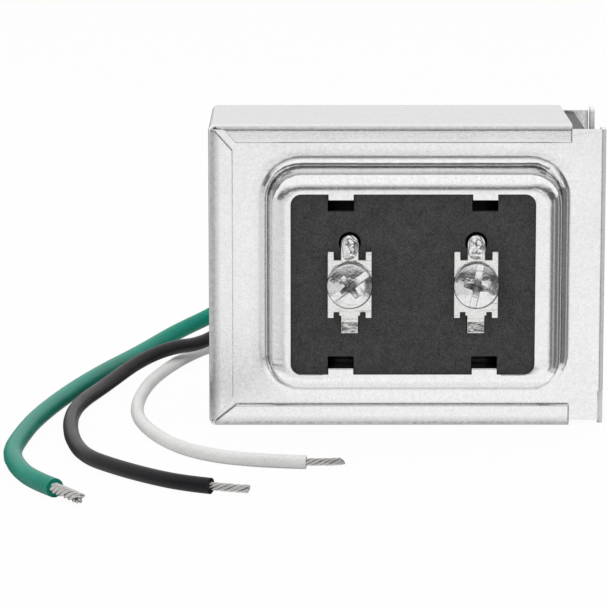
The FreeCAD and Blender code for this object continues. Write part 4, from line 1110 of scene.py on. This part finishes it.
# The leads past their straight run out of the bushing, in millimetres: back, down to the floor, and
# round to the front left.
ROUTES = {
    "green": (
        (-4.0, 46.5, 23.5),
        (-12.5, 54.0, 17.5),
        (-22.5, 56.4, 9.4),
        (-30.6, 53.2, 4.8),
        (-37.0, 46.6, 2.9),
        (-42.4, 35.8, 1.35),
        (-47.6, 19.6, 1.35),
        (-52.2, 1.6, 1.35),
        (-56.0, -18.4, 1.35),
        (-57.4, -34.4, 1.35),
        (-57.6, -42.9, 1.35),
        (-56.1, -51.6, 1.35),
        (-53.4, -59.9, 1.35),
        (-49.8, -65.4, 1.35),
    ),
    "black": (
        (-3.6, 41.4, 19.6),
        (-7.8, 46.6, 16.8),
        (-14.8, 49.2, 13.0),
        (-22.0, 46.4, 8.0),
        (-27.8, 39.8, 5.0),
        (-32.4, 33.2, 3.3),
        (-37.0, 27.4, 3.9),
        (-42.2, 20.0, 2.9),
        (-46.9, 8.3, 1.15),
        (-50.1, -5.3, 1.15),
        (-50.8, -17.5, 1.15),
        (-49.6, -32.0, 1.15),
        (-47.0, -43.8, 1.15),
        (-42.4, -50.8, 1.15),
        (-37.2, -57.0, 1.15),
        (-32.4, -61.4, 1.15),
        (-28.4, -63.3, 1.15),
    ),
    "white": (
        (1.4, 41.6, 18.3),
        (-4.4, 45.4, 13.2),
        (-12.2, 48.2, 7.8),
        (-19.6, 49.4, 3.8),
        (-26.0, 48.2, 1.7),
        (-31.0, 43.2, 1.05),
        (-34.4, 35.4, 1.0),
        (-37.2, 25.6, 1.0),
        (-39.6, 14.4, 1.0),
        (-40.8, 3.4, 1.0),
        (-41.2, -8.4, 1.0),
        (-40.2, -18.5, 1.0),
        (-37.2, -29.3, 1.0),
        (-33.3, -37.8, 1.0),
        (-28.2, -43.2, 1.0),
        (-23.4, -45.5, 1.0),
        (-19.2, -46.7, 1.0),
        (-15.2, -47.2, 1.0),
    ),
}
TIPS = {"green": (-45.9, -70.8, 1.0), "black": (-23.0, -64.2, 0.9), "white": (-9.7, -45.6, 0.8)}
LEAD_ANGLES = {"green": 90, "black": 210, "white": 330}
LEAD_DIAMETERS = {"green": 0.0027, "black": 0.0023, "white": 0.0020}
STRAND_BUNDLES = {"green": 0.0016, "black": 0.0012, "white": 0.0011}
LEAD_MOTTLE = {"green": 0.35, "black": 0.35, "white": 0.12}


def route_curve(name, points, diameter=0.0):
    """A NURBS curve with the route's points as its control points."""
    curve = bpy.data.curves.new(name, "CURVE")
    curve.dimensions = "3D"
    curve.resolution_u = 16
    curve.bevel_depth = diameter / 2
    curve.bevel_resolution = 6
    curve.use_fill_caps = True
    spline = curve.splines.new("NURBS")
    spline.points.add(len(points) - 1)
    spline.points.foreach_set("co", np.insert(points, 3, 1, axis=1).ravel())
    spline.order_u = 3
    spline.use_endpoint_u = True
    return curve


def route_points(points):
    """Points along the route's spline, as Blender evaluates it."""
    guide = bpy.data.objects.new("guide", route_curve("guide", points))
    mesh = bpy.data.meshes.new_from_object(guide)
    line = np.zeros(len(mesh.vertices) * 3)
    mesh.vertices.foreach_get("co", line)
    bpy.data.meshes.remove(mesh)
    bpy.data.objects.remove(guide)
    return line.reshape(-1, 3)


def strand_grids(line, radius, pitch, seed):
    """Seven strands twisted round a line: one in the middle and six round it."""
    strand = radius / 3
    step = np.linalg.norm(np.diff(line, axis=0), axis=1)
    run = np.insert(np.cumsum(step), 0, 0)
    tangent = np.gradient(line, axis=0)
    tangent /= np.linalg.norm(tangent, axis=1)[:, None]
    side = np.cross(tangent, (0, 0, 1))
    side /= np.linalg.norm(side, axis=1)[:, None]
    up = np.cross(side, tangent)
    section = full_turn(13)[:, None]
    dice = np.random.default_rng(seed)
    grids = []
    for layer, count in ((0, 1), (2, 6)):
        for index in range(count):
            fray = dice.uniform(-0.25, 0.25, 2)
            end = len(line) - dice.integers(0, 4)
            tip = (run / run[-1])[:end] ** 2
            twist = 2 * math.pi * (index / count + run[:end] / pitch) + fray[0] * tip
            spread = layer * strand * (1 + 0.25 * fray[1] * tip)
            centre = (
                line[:end]
                + (spread * np.cos(twist))[:, None] * side[:end]
                + (spread * np.sin(twist))[:, None] * up[:end]
            )
            tube = strand * (np.cos(section)[..., None] * side[:end] + np.sin(section)[..., None] * up[:end])
            wall = centre + tube
            cap = np.broadcast_to(centre[-1], (len(section), 1, 3))
            root = np.broadcast_to(centre[0], (len(section), 1, 3))
            grids.append(np.concatenate([root, wall, cap], 1))
    return grids


class TRANSFORMER_OT_leads(PieceOperator):
    """The three insulated leads with their stripped ends"""

    bl_idname = "transformer.leads"
    bl_label = "Leads"

    def build(self, sizes, colours, p):
        tinned = finish("tinned", plated_finish, "tinned_strands", colours.tinned, 0.34, 0.5)
        for seed, (colour, angle) in enumerate(LEAD_ANGLES.items()):
            slot = f"{colour}_insulation"
            shade, mottle = getattr(colours, colour), LEAD_MOTTLE[colour]
            pvc = finish(colour, insulation_finish, slot, shade, 0.34, mottle)
            turn = math.radians(angle)
            across, up = sizes.lead_circle * math.cos(turn), sizes.lead_circle * math.sin(turn)
            start = np.array([p.boss_x + across, p.hub_end, p.middle + up])
            run = np.array([start, start + (0, sizes.lead_out, 0)])
            route = np.concatenate([run, np.array(ROUTES[colour]) * MM])
            diameter = LEAD_DIAMETERS[colour]
            curve = route_curve(f"{colour}_lead", route, diameter)
            lead = add_piece(f"{colour}_lead", curve, pvc, slot, f"lead_{colour}")
            # The metal mirrors no green streak.
            lead.visible_glossy = colour != "green"
            before, end, tip = route[-2], route[-1], np.array(TIPS[colour]) * MM
            ahead = (end - before) / np.linalg.norm(end - before)
            inside, bend = end - sizes.strand_hold * ahead, end + ahead * np.linalg.norm(tip - end) / 2
            line = route_points(np.array([inside, bend, tip]))
            strands = strand_grids(line, STRAND_BUNDLES[colour] / 2, sizes.strand_pitch, seed)
            mesh = grids_mesh(f"{colour}_strands", strands)
            ends = add_piece(f"{colour}_strands", mesh, tinned, "tinned_strands", f"strands_{colour}")
            paint_node(f"tail_{colour}", pvc)


def paint_node(node, material):
    """Gives a CAD node that stays its finish."""
    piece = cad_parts[node]
    piece.data.materials.clear()
    piece.data.materials.append(material)


# Name, place, turn in degrees, size and power of each soft light.
LAMPS = (
    ("overhead_softbox", (0, 0.02, 0.85), (0, 0, 0), 1.4, 7.8),
    ("left_fill", (-0.9, -0.5, 0.45), (66, 0, -61), 0.6, 1.4),
)
FLOOR_HALF = 4.0


class TRANSFORMER_OT_stage(bpy.types.Operator):
    """White floor, soft studio light and the camera"""

    bl_idname = "transformer.stage"
    bl_label = "Stage"
    bl_options = {"REGISTER", "UNDO"}

    def execute(self, context):
        self.floor(context)
        self.world(context)
        for lamp in LAMPS:
            self.lamp(context, *lamp)
        self.camera(context)
        context.scene.view_settings.view_transform = "Standard"
        return {"FINISHED"}

    @staticmethod
    def floor(context):
        """A pale floor that shows as white, and keeps a faint shadow."""
        mesh = bpy.data.meshes.new("floor")
        corners = ((-1, -1, 0), (1, -1, 0), (1, 1, 0), (-1, 1, 0))
        mesh.from_pydata(FLOOR_HALF * np.array(corners), [], [(0, 1, 2, 3)])
        piece = bpy.data.objects.new("floor", mesh)
        context.scene.collection.objects.link(piece)
        material, n = new_material("white_floor")
        seen = background_rays(n)
        lit = n.node("ShaderNodeBsdfDiffuse", Color=(0.75, 0.75, 0.75, 1))
        glow = n.node("ShaderNodeEmission", Color=(1, 1, 1, 1), Strength=1.0)
        shown = n.node("ShaderNodeMixShader", in0=seen * 0.96, in1=lit, in2=glow)
        n.node("ShaderNodeOutputMaterial", Surface=shown)
        mesh.materials.append(material)
        piece.visible_glossy = False

    @staticmethod
    def world(context):
        """White to the camera; bright metal also sees the dim parts of the room and its flags."""
        world = bpy.data.worlds.new("studio")
        context.scene.world = world
        world.use_nodes = True
        n = Nodes(world.node_tree)
        toward = n.node("ShaderNodeTexCoord", output=0)
        across, away, height = (
            n.node("ShaderNodeSeparateXYZ", output=index, Vector=toward) for index in range(3)
        )
        band = height.step(0.03, 0.13) * (1 - height.step(0.15, 0.82)) * (0 - away).step(0.05, 0.5)
        low = height.step(-0.55, -0.35) * (1 - height.step(0.06, 0.18))
        near_strip = away.step(-0.62, -0.50) * (1 - away.step(-0.46, -0.34))
        far_strip = away.step(0.08, 0.2) * (1 - away.step(0.28, 0.4))
        right = across.step(0.36, 0.64) * (0.84 - 0.38 * near_strip - 0.28 * far_strip)
        left = 0.25 * (0 - across).step(0.06, 0.36)
        rear = 0.8 * away.step(0.7, 0.84) * (across * across).step(0.01, 0.06)
        under = 0.12 * (1 - height.step(-1.0, -0.7))
        sunk = 0.4 * away.step(0.2, 0.7) * (1 - height.step(-0.7, -0.3))
        behind = 0.16 * away.step(0.5, 0.9) * (1 - height.step(0.3, 0.6))
        dim = 0.95 * band + low * (right + left + rear) + under + sunk + behind
        path = n.node("ShaderNodeLightPath", output=0)
        glossy = n.node("ShaderNodeLightPath", output=3)
        studio = dim.math("MAXIMUM", 1 - dim, 0.08)
        level = (path + glossy * studio + (1 - path - glossy).clamped() * 0.42).clamped()
        back = n.node("ShaderNodeBackground", Color=(1, 1, 1, 1), Strength=level)
        n.node("ShaderNodeOutputWorld", Surface=back)

    @staticmethod
    def lamp(context, name, place, turn, size, power):
        light = bpy.data.lights.new(name, "AREA")
        light.shape = "SQUARE"
        light.size = size
        light.energy = power
        lamp = bpy.data.objects.new(name, light)
        lamp.location = place
        lamp.rotation_euler = [math.radians(angle) for angle in turn]
        lamp.visible_glossy = False
        context.scene.collection.objects.link(lamp)

    @staticmethod
    def camera(context):
        """The photograph's view: a long lens a little above and left of the object."""
        data = bpy.data.cameras.new("camera")
        data.sensor_width = 36
        data.lens = 208.8
        data.clip_start = 0.01
        camera = bpy.data.objects.new("camera", data)
        camera.location = (-0.0164, -0.53838, 0.10859)
        pitch, yaw = 9.7765, 0.0964
        camera.rotation_euler = (math.radians(90 - pitch), 0, math.radians(-yaw))
        context.scene.collection.objects.link(camera)
        context.scene.camera = camera


def background_rays(n):
    """1 for the rays that show the background: to the camera, in metal and through glass."""
    rays = [n.node("ShaderNodeLightPath", output=index) for index in (0, 3, 6)]
    return (rays[0] + rays[1] + rays[2]).clamped()


OPERATORS = (
    TRANSFORMER_OT_stage,
    TRANSFORMER_OT_leads,
    TRANSFORMER_OT_wrap,
    TRANSFORMER_OT_covers,
    TRANSFORMER_OT_terminals,
    TRANSFORMER_OT_screws,
    TRANSFORMER_OT_core,
    TRANSFORMER_OT_hub,
)


class TRANSFORMER_PT_panel(bpy.types.Panel):
    """Lists the operators and the values that they read"""

    bl_idname = "TRANSFORMER_PT_panel"
    bl_label = "Transformer"
    bl_space_type = "VIEW_3D"
    bl_region_type = "UI"
    bl_category = "Transformer"

    def draw(self, context):
        for operator in OPERATORS:
            self.layout.operator(operator.bl_idname)
        for group in (context.scene.transformer_sizes, context.scene.transformer_colours):
            box = self.layout.box()
            for name in group.__annotations__:
                box.prop(group, name)


CLASSES = (TransformerSizes, TransformerColours, *OPERATORS, TRANSFORMER_PT_panel)


def register():
    for item in CLASSES:
        bpy.utils.register_class(item)
    bpy.types.Scene.transformer_sizes = bpy.props.PointerProperty(type=TransformerSizes)
    bpy.types.Scene.transformer_colours = bpy.props.PointerProperty(type=TransformerColours)


def unregister():
    del bpy.types.Scene.transformer_colours
    del bpy.types.Scene.transformer_sizes
    for item in reversed(CLASSES):
        bpy.utils.unregister_class(item)


def main():
    register()
    bpy.ops.transformer.stage()
    bpy.ops.transformer.leads()
    bpy.ops.transformer.wrap()
    bpy.ops.transformer.covers()
    bpy.ops.transformer.terminals()
    bpy.ops.transformer.screws()
    bpy.ops.transformer.core()
    bpy.ops.transformer.hub()


if __name__ == "__main__":
    main()
